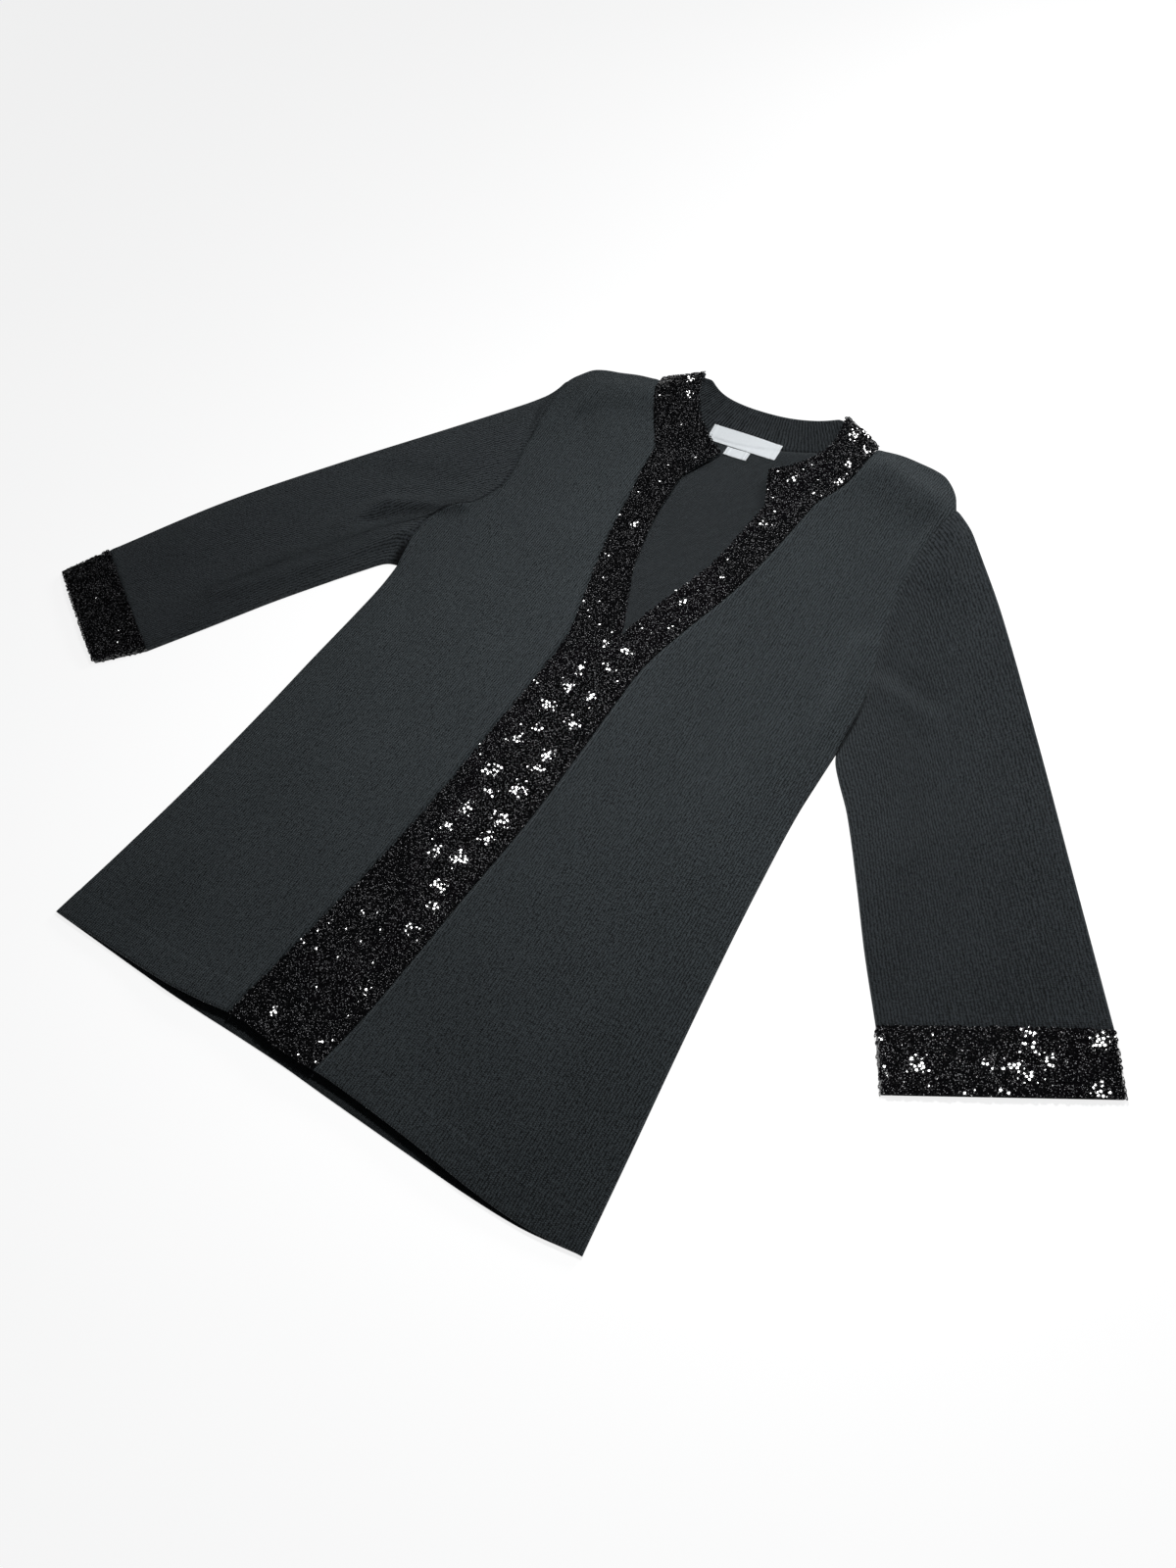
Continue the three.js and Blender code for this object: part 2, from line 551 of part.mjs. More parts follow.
function makeSleeve(hand) {
  const rings = (inside) => SLEEVE_STATIONS.map((s) => {
    const plan = (q) => sleevePlan(hand, q, s);
    const height = (q) => sleeveHeight(hand, q, s, ...plan(q));
    return flatRing(plan, height, mix(ARMHOLE_WIDTH, CUFF_WIDTH, s), inside, s > 0 ? 1 : 0);
  });
  return tube(`sleeve_${hand}`, KNIT, rings(false), rings(true));
}

function makeCuff(hand) {
  const cut = SLEEVES[hand];
  const rings = (inside) => CUFF_STATIONS.map((s) => {
    const along = mix(SEAM_GAP / CUFF_LENGTH, 1, s);
    const plan = (q) => {
      const start = mixPoint(cut.inner, cut.outer, q);
      const end = mixPoint(cut.innerEnd, cut.outerEnd, q);
      const [x, y] = mixPoint(start, end, along);
      return [cut.side * x, y];
    };
    const height = (q) => upperLayer(...plan(q), cut.loft, Math.min(q, 1 - q) * CUFF_WIDTH);
    return flatRing(plan, height, CUFF_WIDTH, inside, 1);
  });
  return tube(`cuff_${hand}`, SEQUINS, rings(false), rings(true));
}

// Collar

// The strip's middle is kept as rows of a seam point and a free point, from the wearer's
// right front end round the back to the left front end.
function frontRows(table, side) {
  return table.map((row) => {
    const seamZ = bodyHeight(row.seamX, row.seamY) + WALL / 2;
    const seamX = row.seamX - side * COLLAR_SEAM_GAP;
    return {
      seam: [seamX, row.seamY + COLLAR_SEAM_GAP, Math.max(seamZ, COLLAR_SEAM_Z)],
      free: [row.freeX, row.freeY, row.freeZ],
    };
  });
}

// The strip turns back on itself in a half circle at each shoulder.
function foldRows(hand) {
  const fold = COLLAR_FOLD;
  const side = hand === 'left' ? 1 : -1;
  const corner = fold[hand];
  const seam = [side * (NECK_X - fold.seamIn), NECK_Y + fold.seamUp];
  const dx = corner.cornerX - seam[0];
  const dy = corner.cornerY - seam[1];
  const length = Math.hypot(dx, dy);
  const outwards = [side * dy / length, -side * dx / length];
  const rows = [];
  for (let i = 0; i <= fold.turns; i += 1) {
    const angle = Math.PI * i / fold.turns;
    const point = (x, y, z, radius) => [
      x + outwards[0] * radius * Math.sin(angle),
      y + outwards[1] * radius * Math.sin(angle),
      z + radius * Math.cos(angle),
    ];
    rows.push({
      seam: point(seam[0], seam[1], WALL / 2 + fold.seamRadius, fold.seamRadius),
      free: point(corner.cornerX, corner.cornerY, fold.cornerZ, fold.cornerRadius),
    });
  }
  return hand === 'left' ? rows.reverse() : rows;
}

function backRows() {
  const freeX = smoothTable(COLLAR_BACK, 'seamX', 'freeX');
  const freeY = smoothTable(COLLAR_BACK, 'seamX', 'freeY');
  const freeZ = smoothTable(COLLAR_BACK, 'seamX', 'freeZ');
  const steps = RIBS * 2;
  const rows = [];
  for (let i = 0; i <= steps; i += 1) {
    const x = mix(-COLLAR_BACK_HALF, COLLAR_BACK_HALF, i / steps);
    rows.push({
      seam: [x, neckSeamAt(x) + COLLAR_SEAM_GAP, WALL / 2],
      free: [freeX(x), freeY(x), freeZ(x)],
      rib: i % 2 === 1 ? RIB_HEIGHT : 0,
    });
  }
  return rows;
}

function makeCollar() {
  const right = frontRows(COLLAR_RIGHT, -1);
  const left = frontRows(COLLAR_LEFT, 1).reverse();
  const rows = [...right, ...foldRows('right'), ...backRows(), ...foldRows('left'), ...left];
  const pointAt = (row, t) => new THREE.Vector3(...mixPoint(row.seam, row.free, t));
  const middle = rows.map((row) => COLLAR_ACROSS.map((t) => pointAt(row, t)));
  const upper = [];
  const lower = [];
  middle.forEach((points, i) => {
    const before = middle[Math.max(i - 1, 0)];
    const after = middle[Math.min(i + 1, middle.length - 1)];
    const outside = [];
    const inside = [];
    points.forEach((point, j) => {
      const along = after[j].clone().sub(before[j]);
      const rise = points.at(-1).clone().sub(points[0]);
      const normal = rise.cross(along).normalize();
      const rib = rows[i].rib ?? 0;
      outside.push(point.clone().addScaledVector(normal, WALL / 2).toArray());
      inside.push(point.clone().addScaledVector(normal, -WALL / 2 - rib).toArray());
    });
    upper.push(outside);
    lower.push(inside);
  });
  return wall('collar', RIB_KNIT, upper, lower);
}

// Labels

// Underside of a label that lies on the back and, past the neck seam, on the collar.
function onNeck(x, y) {
  const past = y - necklineAt(x);
  const step = Math.min(Math.max(past / LABEL_STEP_RUN + 1, 0), 1);
  return LAYER + step * LABEL_STEP + Math.max(past, 0) * LABEL_SLOPE;
}

function makeLabel({ name, x, y, width, height, tilt }) {
  const [cos, sin] = [Math.cos(tilt), Math.sin(tilt)];
  const grid = (rise) => LABEL_ROWS.map((v) => LABEL_COLUMNS.map((u) => {
    const across = (u - 0.5) * width;
    const up = (v - 0.5) * height;
    const px = x + across * cos - up * sin;
    const py = y + across * sin + up * cos;
    return [px, py, onNeck(px, py) + rise];
  }));
  return wall(name, LABEL, grid(LABEL_WALL), grid(0));
}

// The garment

const cardigan = new THREE.Group();
cardigan.add(makeBack());
for (const hand of ['right', 'left']) {
  cardigan.add(makeFront(hand), makeBand(hand), makeSleeve(hand), makeCuff(hand));
}
cardigan.add(makeCollar());
LABELS.forEach((label) => cardigan.add(makeLabel(label)));

// The origin is the middle of the garment's box, on the table.
const box = new THREE.Box3().setFromObject(cardigan);
const middle = box.getCenter(new THREE.Vector3());
cardigan.position.set(-middle.x, -middle.y, -box.min.z);

export default cardigan;
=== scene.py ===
# The looks of an open-front cardigan laid flat: dense black knit, sequinned bands,
# collar and cuffs, blank labels, and the pale table under it.
#
# Plan sizes are in millimetres in the garment's own frame: x to the wearer's left, y from
# the hem to the neck, z up from the table. to_part() takes them to the part's frame.

import math
from functools import partial

import bpy
import numpy as np
from mathutils import Matrix, Vector


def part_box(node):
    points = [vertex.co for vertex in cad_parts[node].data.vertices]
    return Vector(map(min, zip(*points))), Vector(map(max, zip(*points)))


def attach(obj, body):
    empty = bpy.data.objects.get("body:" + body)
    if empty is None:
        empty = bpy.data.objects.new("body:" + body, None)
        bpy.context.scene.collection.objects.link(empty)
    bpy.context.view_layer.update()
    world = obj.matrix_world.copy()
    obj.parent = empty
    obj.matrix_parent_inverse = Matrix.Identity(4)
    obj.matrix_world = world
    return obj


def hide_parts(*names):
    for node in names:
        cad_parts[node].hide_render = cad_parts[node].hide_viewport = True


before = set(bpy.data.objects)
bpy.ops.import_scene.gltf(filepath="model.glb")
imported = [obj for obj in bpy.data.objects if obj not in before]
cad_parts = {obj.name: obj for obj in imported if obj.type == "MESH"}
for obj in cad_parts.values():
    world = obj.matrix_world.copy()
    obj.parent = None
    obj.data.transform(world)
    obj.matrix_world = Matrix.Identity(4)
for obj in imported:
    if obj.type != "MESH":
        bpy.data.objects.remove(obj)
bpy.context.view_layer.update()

# Driving sizes of the garment

WALL = 2.2
SEAM_GAP = 0.3
SEWN = 0.5  # how far a sewn edge reaches under its neighbour
LAYER = WALL + SEAM_GAP
BODY_LOFT = 2.2
SLEEVE_LOFT = 3.0
LOFT_RUN = 16
HEM_HALF = 264
UNDERARM_Y = 440
SHOULDER_Y = 725
NECK_Y = 766
NECK_X = 121
SHOULDER_X = 220
BAND_TOP_Y = 679
HEM_DEPTH = 25
HEM_STEPS = 18
SLEEVE_LENGTH = 480
HEAD_SLANT = 0.85  # the armhole seam lies aslant to the sleeve
CUFF_LENGTH = 49
CUFF_WIDTH = 155
ARMHOLE_WIDTH = SHOULDER_Y - UNDERARM_Y
BAND_TOP_ROW = BAND_TOP_Y * SHOULDER_Y / NECK_Y
SHOULDER_FROM = 667  # rows above this one rise towards the shoulder seam
HEM_FADE = 80  # the hem's own line is felt up to this height
HANDS = {"right": -1, "left": 1}

# Small forms
FLOOR_SOFTNESS = 1.2  # how gently a hollow runs out on the layer below
UNDULATIONS = ((0.9, 150), (0.45, 62), (0.16, 24))  # heights and lengths
WAVE_SPREAD = (0.7, 1.5)  # shortest and longest wave, as shares of the length
SEAM_PULL_RUN = 1.7  # a seam draws the cloth down over this distance
SEAM_SWELL = 0.45  # and it rises by this much beside it
SEAM_SWELL_AT = 5
SEAM_SWELL_RUN = 3
SEAM_SHARE = {"armhole": 0.7, "band": 0.7, "shoulder": 0.5, "cuff": 0.6}
NEAR_BAND = 12  # the cloth lies even within this distance of the band
NEAR_HEAD = 12  # and over one part in this many of a sleeve, at its head
FAR = 99  # a distance at which a seam isn't felt
HEM_THICKER = 0.5
HEM_EDGE_RUN = 1.6
HEM_STITCH_DIP = 0.55
HEM_STITCH_RUN = 1.3
BACK_HEM_SHARE = 0.5
BACK_RIPPLE = (0.12, 40)  # height and length
BACK_SUNK = 0.15
BAND_CURL = 3  # the bands' free edges curl up this much in the V
CURL_FROM = 470
HEAD_TAPER = 4  # a sleeve is as narrow as its cuff after one part in this many
HEAD_SHARE = 0.1  # this share of a sleeve takes up the body's height

# How finely the pieces are divided
FRONT_ROWS = (
    # from, to, how many
    (0, 36, 25), (39, SHOULDER_Y - 12, 215), (SHOULDER_Y - 10, SHOULDER_Y, 8),
)
FRONT_COLUMNS = 74
BACK_ROWS = (110, 90)  # below the underarm and above it
BACK_COLUMNS = 121
BAND_ROWS = 230
BAND_COLUMNS = 16
SLEEVE_STATIONS = (
    # from, to, how many
    (0, 0.016, 13), (0.02, 0.98, 120), (0.99, 1, 2),
)
CUFF_STATIONS = 18
TUBE_COLUMNS = 58

# Camera: the photograph's, worked out from the garment's outline
CAMERA_AT = (432.3, -51.6, 848.4)
CAMERA_VIEW = (-0.36497, 0.37154, -0.85367)
CAMERA_RIGHT = (0.83954, 0.52771, -0.12926)
LENS = 27  # millimetres on a 36 mm long side

# Tables

SIDE = (
    # y, right, left
    (-10, 265.5, 268), (0, 264.5, 266), (70, 254, 259.5), (150, 244, 252),
    (240, 236, 244.5), (310, 231.5, 240), (370, 227, 237.5), (410, 225, 238.3),
    (UNDERARM_Y, 226.5, 239.2), (456, 229.5, 239.2), (480, 235, 238.8), (505, 234, 236),
    (530, 209, 231), (555, 194.5, 224.5), (580, 190.5, 219), (624, 200, 213.2),
    (667, 207, 212.8), (690, 209.6, 215.5), (708, 210.8, 218),
    (SHOULDER_Y, 211.5, SHOULDER_X), (790, 211.5, SHOULDER_X),
)
SHOULDER = (
    # x, right, left
    (NECK_X, NECK_Y, NECK_Y), (145, 764, 768.8), (165, 759.5, 767), (185, 755.5, 763.5),
    (197, 748.5, 758), (211.5, SHOULDER_Y, 742.5), (SHOULDER_X, 706, SHOULDER_Y),
)
NECKLINE = (
    # x, y
    (-NECK_X, NECK_Y), (-100, 748), (-75, 731), (-46, 720), (-10, 718), (37, 728),
    (75, 742), (100, 753), (NECK_X, NECK_Y),
)
HEM = (
    # x, back, front
    (-HEM_HALF, -2, -2), (-133, -6, -2), (-95, -6, 1), (-55, -5.5, 6), (-8, -5.5, 3),
    (40, -7, 3.5), (120, -9, -1), (175, -10, -6), (220, -8.5, -7), (HEM_HALF, -2, -2),
)
FRONT_EDGE = (
    # y, right, left
    (-10, -66, 21), (40, -62, 27), (113, -52, 33.5), (180, -42, 39), (255, -35, 46),
    (315, -32, 48.5), (406, -27, 50), (442, -28, 52), (487, -39, 63), (552, -55, 82),
    (610, -65, 92), (650, -72, 97), (BAND_TOP_Y, -76, 101), (704, -92, 112),
    (727, -106, 118.5), (748, -116, NECK_X), (NECK_Y, -NECK_X, NECK_X),
)
OPENING = (
    # y, right, left
    (-10, -20, -20), (32, -14, -14), (117, -6, -6), (174, -1, -1), (237, 5, 5),
    (287, 11, 11), (330, 14, 14), (409, 14.5, 14.5), (440, 14.9, 14.9),
    (455, 14.7, 15.3), (468, 13.5, 18.5), (492, 4, 26), (529, -12, 39), (561, -20, 49),
    (596, -27, 55), (655, -31, 61), (690, -32, 62),
)
BAND_FALL = (
    # y, right, left
    (-10, 0, 0), (430, 0, 0), (487, 6, 6), (552, 10, 11), (640, 16, 20),
    (BAND_TOP_Y, 21, 28),
)
SLEEVES = {
    "left": dict(loft=SLEEVE_LOFT, inner=(368.5, 241), outer=(511.5, 319),
                 inner_end=(391.5, 198.8), outer_end=(534, 277.5)),
    "right": dict(loft=SLEEVE_LOFT + 0.8, inner=(389.5, 243), outer=(515, 319),
                  inner_end=(427.5, 208.2), outer_end=(540, 276.5)),
}
SLEEVE_BOW = (
    # s, left outer, left inner, right outer, right inner
    (0, 0, 0, 0, 0), (0.03, 4.5, -1.5, -7.5, 7), (0.06, 7.5, -2, -11, 9.5),
    (0.12, 9.5, -1.2, -10.5, 10), (0.25, 11.5, 1.5, -6, 10), (0.5, 9, 1, 3.4, 8.5),
    (0.75, 4.5, -0.5, 8.2, 4), (1, 0, 0, 0, 0),
)
FOLDS = (
    # x1, y1, x2, y2, height, width
    (-105, -10, -25, -10, 7, 48), (45, -12, 150, -12, 6, 46),
    (-172, 726, -125, 738, 8, 24), (194, 722, 140, 742, 10, 24),
    (-163, 684, -156, 664, -3, 10), (-196, 664, -184, 700, 3, 20),
    (236, 650, 232, 690, 6, 22), (-214, 668, -205, 636, -2, 6),
    (-211, 526, -281, 497, 5, 8), (-289, 490, -309, 455, 3, 10),
    (-224, 508, -282, 470, -4, 8), (-252, 548, -336, 526, -2.5, 15),
    (-242, 470, -300, 398, 3.5, 8), (-306, 391, -368, 326, 3, 9),
    (-256, 474, -322, 436, 2, 12), (-208, 428, -178, 392, -3, 13),
    (224, 455, 212, 545, 3.5, 12), (242, 533, 284, 521, -3, 10),
    (242, 511, 290, 500, 2.5, 12), (-205, 60, -190, 330, 1.8, 26),
    (200, 40, 188, 350, 1.8, 26), (392, 455, 330, 375, 2, 20),
)
# Where the lower armhole tucks in: (up to this row, over this run, how much)
TUCKS = {"left": (540, 80, 1.0), "right": (482, 30, 0.9)}
TUCK_DEPTH = 0.3  # the tucked cloth lies this far below the upper layer's lowest
TUCK_RUN = 6  # and rises again over this length
TUCK_LIP = 0.8  # the front's edge stands out over it
TUCK_LIP_RUN = 6
TUCK_RISE = 1.2
TUCK_SEAM = 0.8
TUCK_EDGE = 0.9  # the painted shade line on the front is this narrow
TUCK_SHADE = 12  # this length of the tucked cloth is darkened by painted shade
COLLAR_FRONT = {
    # seam x, seam y, free x, free y, free z
    "right": ((-31, 658, -10, 695, 9.5), (-54, 669, -20, 701, 10),
              (-76, BAND_TOP_Y, -31, 708, 11), (-92, 704, -43, 719, 12),
              (-106, 727, -55, 733, 13), (-116, 748, -68, 756, 14)),
    "left": ((61, 651, 43, 694, 9.5), (81, 665, 54, 701, 10),
             (101, BAND_TOP_Y, 65, 711, 11), (112, 704, 76, 726, 12),
             (118.5, 727, 84, 745, 13), (NECK_X, 748, 84, 766, 14)),
}
COLLAR_BACK = (
    # seam x, free x, free y, free z
    (-100, -68, 782, 8), (-75, -52, 772, 7), (-46, -35, 767, 6), (-10, -9, 765, 5.5),
    (37, 26, 767, 6), (75, 54, 774, 7), (100, 73, 783, 8),
)
COLLAR_CORNER = {"right": (-78, 783), "left": (80, 783)}
COLLAR_CORNER_Z = 10
COLLAR_SEWN = SEAM_GAP * 1.5  # from the neck seam to the strip's sewn edge
COLLAR_SEAM_LOW = 4.4  # the strip lies at least this high on the fronts
COLLAR_FOLD_IN = 1  # the fold at the side starts this far inside the shoulder seam
COLLAR_FOLD_UP = 1.5
COLLAR_FOLD_ROWS = 13
COLLAR_BACK_ROWS = 25
COLLAR_STEP = 0.62
COLLAR_COLUMNS = 17
COLLAR_HEIGHT = 46
COLLAR_CLEAR = 0.3  # the outside keeps this far off the table
RIB_CLEAR = 0.02  # and the ribbed inside this far
RIB_PAST = 25  # the ribs run on past the back by this much
RIB_FADE = 8
RIB_RISE = 0.45
RIB_LOFT = 0.35
RIB_EDGES = (0.06, 0.05)  # shares of the height where the ribs fade
SEQUINS_FROM = 12  # the sequins start this far past the back
LABELS = (
    dict(name="neck_label", x=0.5, y=722, width=75, height=19, tilt=0.02),
    dict(name="size_tab", x=0.5, y=706.2, width=25, height=11, tilt=0.03),
)
LABEL_WALL = 0.5
LABEL_STEP = 1.4
LABEL_STEP_RUN = 3
LABEL_SLOPE = 0.14
LABEL_HEM = 5  # folded under at each end
LABEL_SEWN = 2.2  # from the ends to the stitches
STITCH_PITCH = 2.2
STITCH_LENGTH = 1.6
STITCH_RADIUS = 0.17
STITCH_RISE = 0.3
STITCH_LIFT = 0.2
STITCH_RINGS = 5
THREAD_SIDES = 6
LABEL_COLUMNS = 76
LABEL_ROWS = 21
LABEL_LIFT = 0.15
LABEL_FOLD = 0.22
LABEL_FOLD_RUN = 0.7
LABEL_WAVE = 0.25
LABEL_WAVE_TURN = 7
LABEL_WAVE_PHASE = 0.6
LABEL_DIP = 0.35  # at the stitches
LABEL_DIP_RUN = 0.6
SEAM_RADIUS = 1.7
CORNER_RADIUS = 3
RIB_PITCH = 3.1


def smooth_table(rows, key, out):
    """A smooth curve through a table: column out as a function of column key."""
    x = np.array([row[key] for row in rows], float)
    y = np.array([row[out] for row in rows], float)
    slope = np.empty_like(y)
    slope[1:-1] = (y[2:] - y[:-2]) / (x[2:] - x[:-2])
    slope[0] = (y[1] - y[0]) / (x[1] - x[0])
    slope[-1] = (y[-1] - y[-2]) / (x[-1] - x[-2])

    def read(at):
        at = np.clip(np.asarray(at, float), x[0], x[-1])
        i = np.clip(np.searchsorted(x, at) - 1, 0, len(x) - 2)
        span = x[i + 1] - x[i]
        t = (at - x[i]) / span
        return (y[i] * (2 * t**3 - 3 * t**2 + 1) + y[i + 1] * (3 * t**2 - 2 * t**3)
                + span * (slope[i] * (t**3 - 2 * t**2 + t) + slope[i + 1] * (t**3 - t**2)))
    return read


def both_hands(rows):
    return {"right": smooth_table(rows, 0, 1), "left": smooth_table(rows, 0, 2)}


def stacked(*parts):
    return np.stack(parts, axis=-1)


def mix(a, b, t):
    return a + (b - a) * t


side_at = both_hands(SIDE)
shoulder_at = both_hands(SHOULDER)
front_edge_at = both_hands(FRONT_EDGE)
opening_at = both_hands(OPENING)
band_fall_at = both_hands(BAND_FALL)
neckline_at = smooth_table(NECKLINE, 0, 1)
back_hem_at = smooth_table(HEM, 0, 1)
front_hem_at = smooth_table(HEM, 0, 2)
sleeve_bow = {
    "left": (smooth_table(SLEEVE_BOW, 0, 2), smooth_table(SLEEVE_BOW, 0, 1)),
    "right": (smooth_table(SLEEVE_BOW, 0, 4), smooth_table(SLEEVE_BOW, 0, 3)),
}


# The garment's frame lies in the part's frame by the back panel's lowest corner.
hem_x = np.linspace(-HEM_HALF, HEM_HALF, HEM_STEPS + 1)[1:-1]
own_low = np.array([-side_at["right"](0), back_hem_at(hem_x).min(), 0])
ORIGIN = np.array(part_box("back")[0]) * 1000 - own_low


# Height of the upper layer

def distance_to_line(x, y, x1, y1, x2, y2):
    dx, dy = x2 - x1, y2 - y1
    t = np.clip(((x - x1) * dx + (y - y1) * dy) / (dx * dx + dy * dy), 0, 1)
    return np.hypot(x - x1 - dx * t, y - y1 - dy * t)


def folds_at(x, y):
    total = np.zeros_like(x)
    for x1, y1, x2, y2, height, width in FOLDS:
        total += height * np.exp(-(distance_to_line(x, y, x1, y1, x2, y2) / width)**2)
    return total


def open_up(distance):
    return 1 - np.exp(-np.maximum(distance, 0) / LOFT_RUN)


def by_hand(x, tables, at):
    return np.where(x < 0, tables["right"](at), tables["left"](at))


def inside_body(x, y):
    """Distance from the side seam and the shoulder seam."""
    across = np.abs(x)
    underarm = np.where(x < 0, side_at["right"](UNDERARM_Y), side_at["left"](UNDERARM_Y))
    low = by_hand(x, side_at, y) - across
    high = np.hypot(np.maximum(underarm - across, 0), y - UNDERARM_Y)
    from_side = np.where(y < UNDERARM_Y, low, high)
    from_shoulder = by_hand(x, shoulder_at, np.maximum(across, NECK_X)) - y
    return np.minimum(from_side, np.maximum(from_shoulder, 0))


def soft_floor(value):
    half = FLOOR_SOFTNESS / 2
    return (value + np.hypot(value, FLOOR_SOFTNESS)) / 2 - half + half * np.exp(-value * value)


def upper_layer(x, y, loft, distance):
    return LAYER + np.maximum(soft_floor(loft + folds_at(x, y)), 0) * open_up(distance)


def body_height(x, y):
    return upper_layer(x, y, BODY_LOFT, inside_body(x, y))


# Small forms on top of the large ones

def waves(x, y, length, seed, count=7):
    """A smooth random surface from -1 to 1, out of plane waves."""
    rng = np.random.default_rng(seed)
    total = np.zeros_like(x)
    for _ in range(count):
        angle, phase = rng.uniform(0, 2 * math.pi, 2)
        reach = length * rng.uniform(*WAVE_SPREAD)
        along = x * math.cos(angle) + y * math.sin(angle)
        total += np.sin(along * 2 * math.pi / reach + phase)
    return total / count


def softness(x, y, seed):
    """Cloth never lies quite even: long and short undulations, in millimetres."""
    return sum(height * waves(x, y, length, seed + step)
               for step, (height, length) in enumerate(UNDULATIONS))


def seam_dip(distance):
    """A sewn seam pulls the cloth down along it and lets it rise beside it."""
    swell = SEAM_SWELL * np.exp(-((distance - SEAM_SWELL_AT) / SEAM_SWELL_RUN)**2)
    return swell - np.exp(-(distance / SEAM_PULL_RUN)**2)


# Meshes

RIM_MOST = 0.8  # a rim is drawn in by this share of its cell at most
RIM_SLOPE = 0.45
TUBE_RIM = 0.12  # the rim of a tube's end stands out by this share of a ring's step


def to_part(points):
    return (np.asarray(points, float).reshape(-1, 3) + ORIGIN) / 1000


def new_mesh(name, points, faces, uv, material, crease_shade=None):
    """crease_shade is how much painted shade each of the first points gets, from 0 to 1."""
    mesh = bpy.data.meshes.new(name)
    mesh.from_pydata(to_part(points).tolist(), [], np.asarray(faces).tolist())
    mesh.validate()
    piece = bpy.data.objects.new(name, mesh)
    bpy.context.scene.collection.objects.link(piece)
    mesh.polygons.foreach_set("use_smooth", np.ones(len(mesh.polygons), bool))
    if uv is not None:
        corner = np.empty(len(mesh.loops), int)
        mesh.loops.foreach_get("vertex_index", corner)
        layer = mesh.uv_layers.new(name="cloth")
        layer.data.foreach_set("uv", (np.asarray(uv, float) / 1000)[corner].ravel())
    if crease_shade is not None:
        crease_shade_all = np.zeros(len(mesh.vertices))
        crease_shade_all[:len(crease_shade)] = crease_shade
        mesh.attributes.new("crease_shade", "FLOAT", "POINT").data.foreach_set("value", crease_shade_all)
    mesh.materials.append(material)
    return piece


def grid_faces(index, wrap=False):
    """Quads between the neighbours of a grid of vertex numbers."""
    if wrap:
        index = np.concatenate([index, index[:, :1]], axis=1)
    return np.stack([index[:-1, :-1], index[:-1, 1:], index[1:, 1:], index[1:, :-1]],
                    axis=-1).reshape(-1, 4)


def border(grid):
    """The border of a grid, once round."""
    return np.concatenate([grid[0, :-1], grid[:-1, -1], grid[-1, :0:-1], grid[:0:-1, 0]])


def round_edge(upper, lower, radius):
    """Draws the border of both faces in a little, so that a rim between them is round."""
    middle = (upper + lower) / 2
    for grid, sign in ((upper, -1), (lower, 1)):
        for edge, next_in in ((0, 1), (-1, -2)):
            for axis in (0, 1):
                view = np.swapaxes(grid, 0, axis)
                source = np.swapaxes(middle, 0, axis)
                step = source[next_in] - source[edge]
                step[..., 2] = 0
                length = np.linalg.norm(step, axis=-1, keepdims=True) + 1e-9
                view[edge] += step / length * np.minimum(radius, length * RIM_MOST)
                view[edge, :, 2] += sign * radius * RIM_SLOPE
    return middle


def shell(name, upper, lower, uv, material, radius=0.8, crease_shade=None):
    """A closed cloth wall from two grids of points, with a rounded rim."""
    upper, lower = upper.copy(), lower.copy()
    middle = round_edge(upper, lower, radius)
    rows, columns = upper.shape[:2]
    top = np.arange(rows * columns).reshape(rows, columns)
    under = top + rows * columns
    rim_points = border(middle)
    rim = 2 * rows * columns + np.arange(len(rim_points))
    ring = np.stack([border(top), rim, border(under)])
    faces = np.concatenate([grid_faces(top), grid_faces(under)[:, ::-1],
                            grid_faces(ring, wrap=True)[:, ::-1]])
    points = np.concatenate([upper.reshape(-1, 3), lower.reshape(-1, 3), rim_points])
    uv = uv.reshape(-1, 2)
    rim_uv = border(uv.reshape(rows, columns, 2))
    all_uv = np.concatenate([uv, uv, rim_uv])
    return new_mesh(name, points, faces, all_uv, material, crease_shade)


def tube(name, outer, inner, uv, material, crease_shade=None):
    """An open-ended tube from outer and inner rings, a ring for each row."""
    rows, columns = outer.shape[:2]
    out = np.arange(rows * columns).reshape(rows, columns)
    into = out + rows * columns
    ends = []
    extra = []
    count = 2 * rows * columns
    for edge, flip in ((0, False), (-1, True)):
        ring = (outer[edge] + inner[edge]) / 2 + (outer[edge] - outer[(1, -2)[edge]]) * TUBE_RIM
        number = count + np.arange(columns)
        count += columns
        extra.append(ring)
        faces = grid_faces(np.stack([into[edge], number, out[edge]]), wrap=True)
        ends.append(faces[:, ::-1] if flip else faces)
    faces = np.concatenate([grid_faces(out, wrap=True), grid_faces(into, wrap=True)[:, ::-1],
                            *ends])
    points = np.concatenate([outer.reshape(-1, 3), inner.reshape(-1, 3), *extra])
    flat_uv = uv.reshape(-1, 2)
    all_uv = np.concatenate([flat_uv, flat_uv, uv[0], uv[-1]])
    return new_mesh(name, points, faces, all_uv, material, crease_shade)


def fix_normals(piece):
    """Turns every face outwards."""
    bpy.context.view_layer.objects.active = piece
    piece.select_set(True)
    bpy.ops.object.mode_set(mode="EDIT")
    bpy.ops.mesh.select_all(action="SELECT")
    bpy.ops.mesh.normals_make_consistent(inside=False)
    bpy.ops.object.mode_set(mode="OBJECT")
    piece.select_set(False)


# Materials

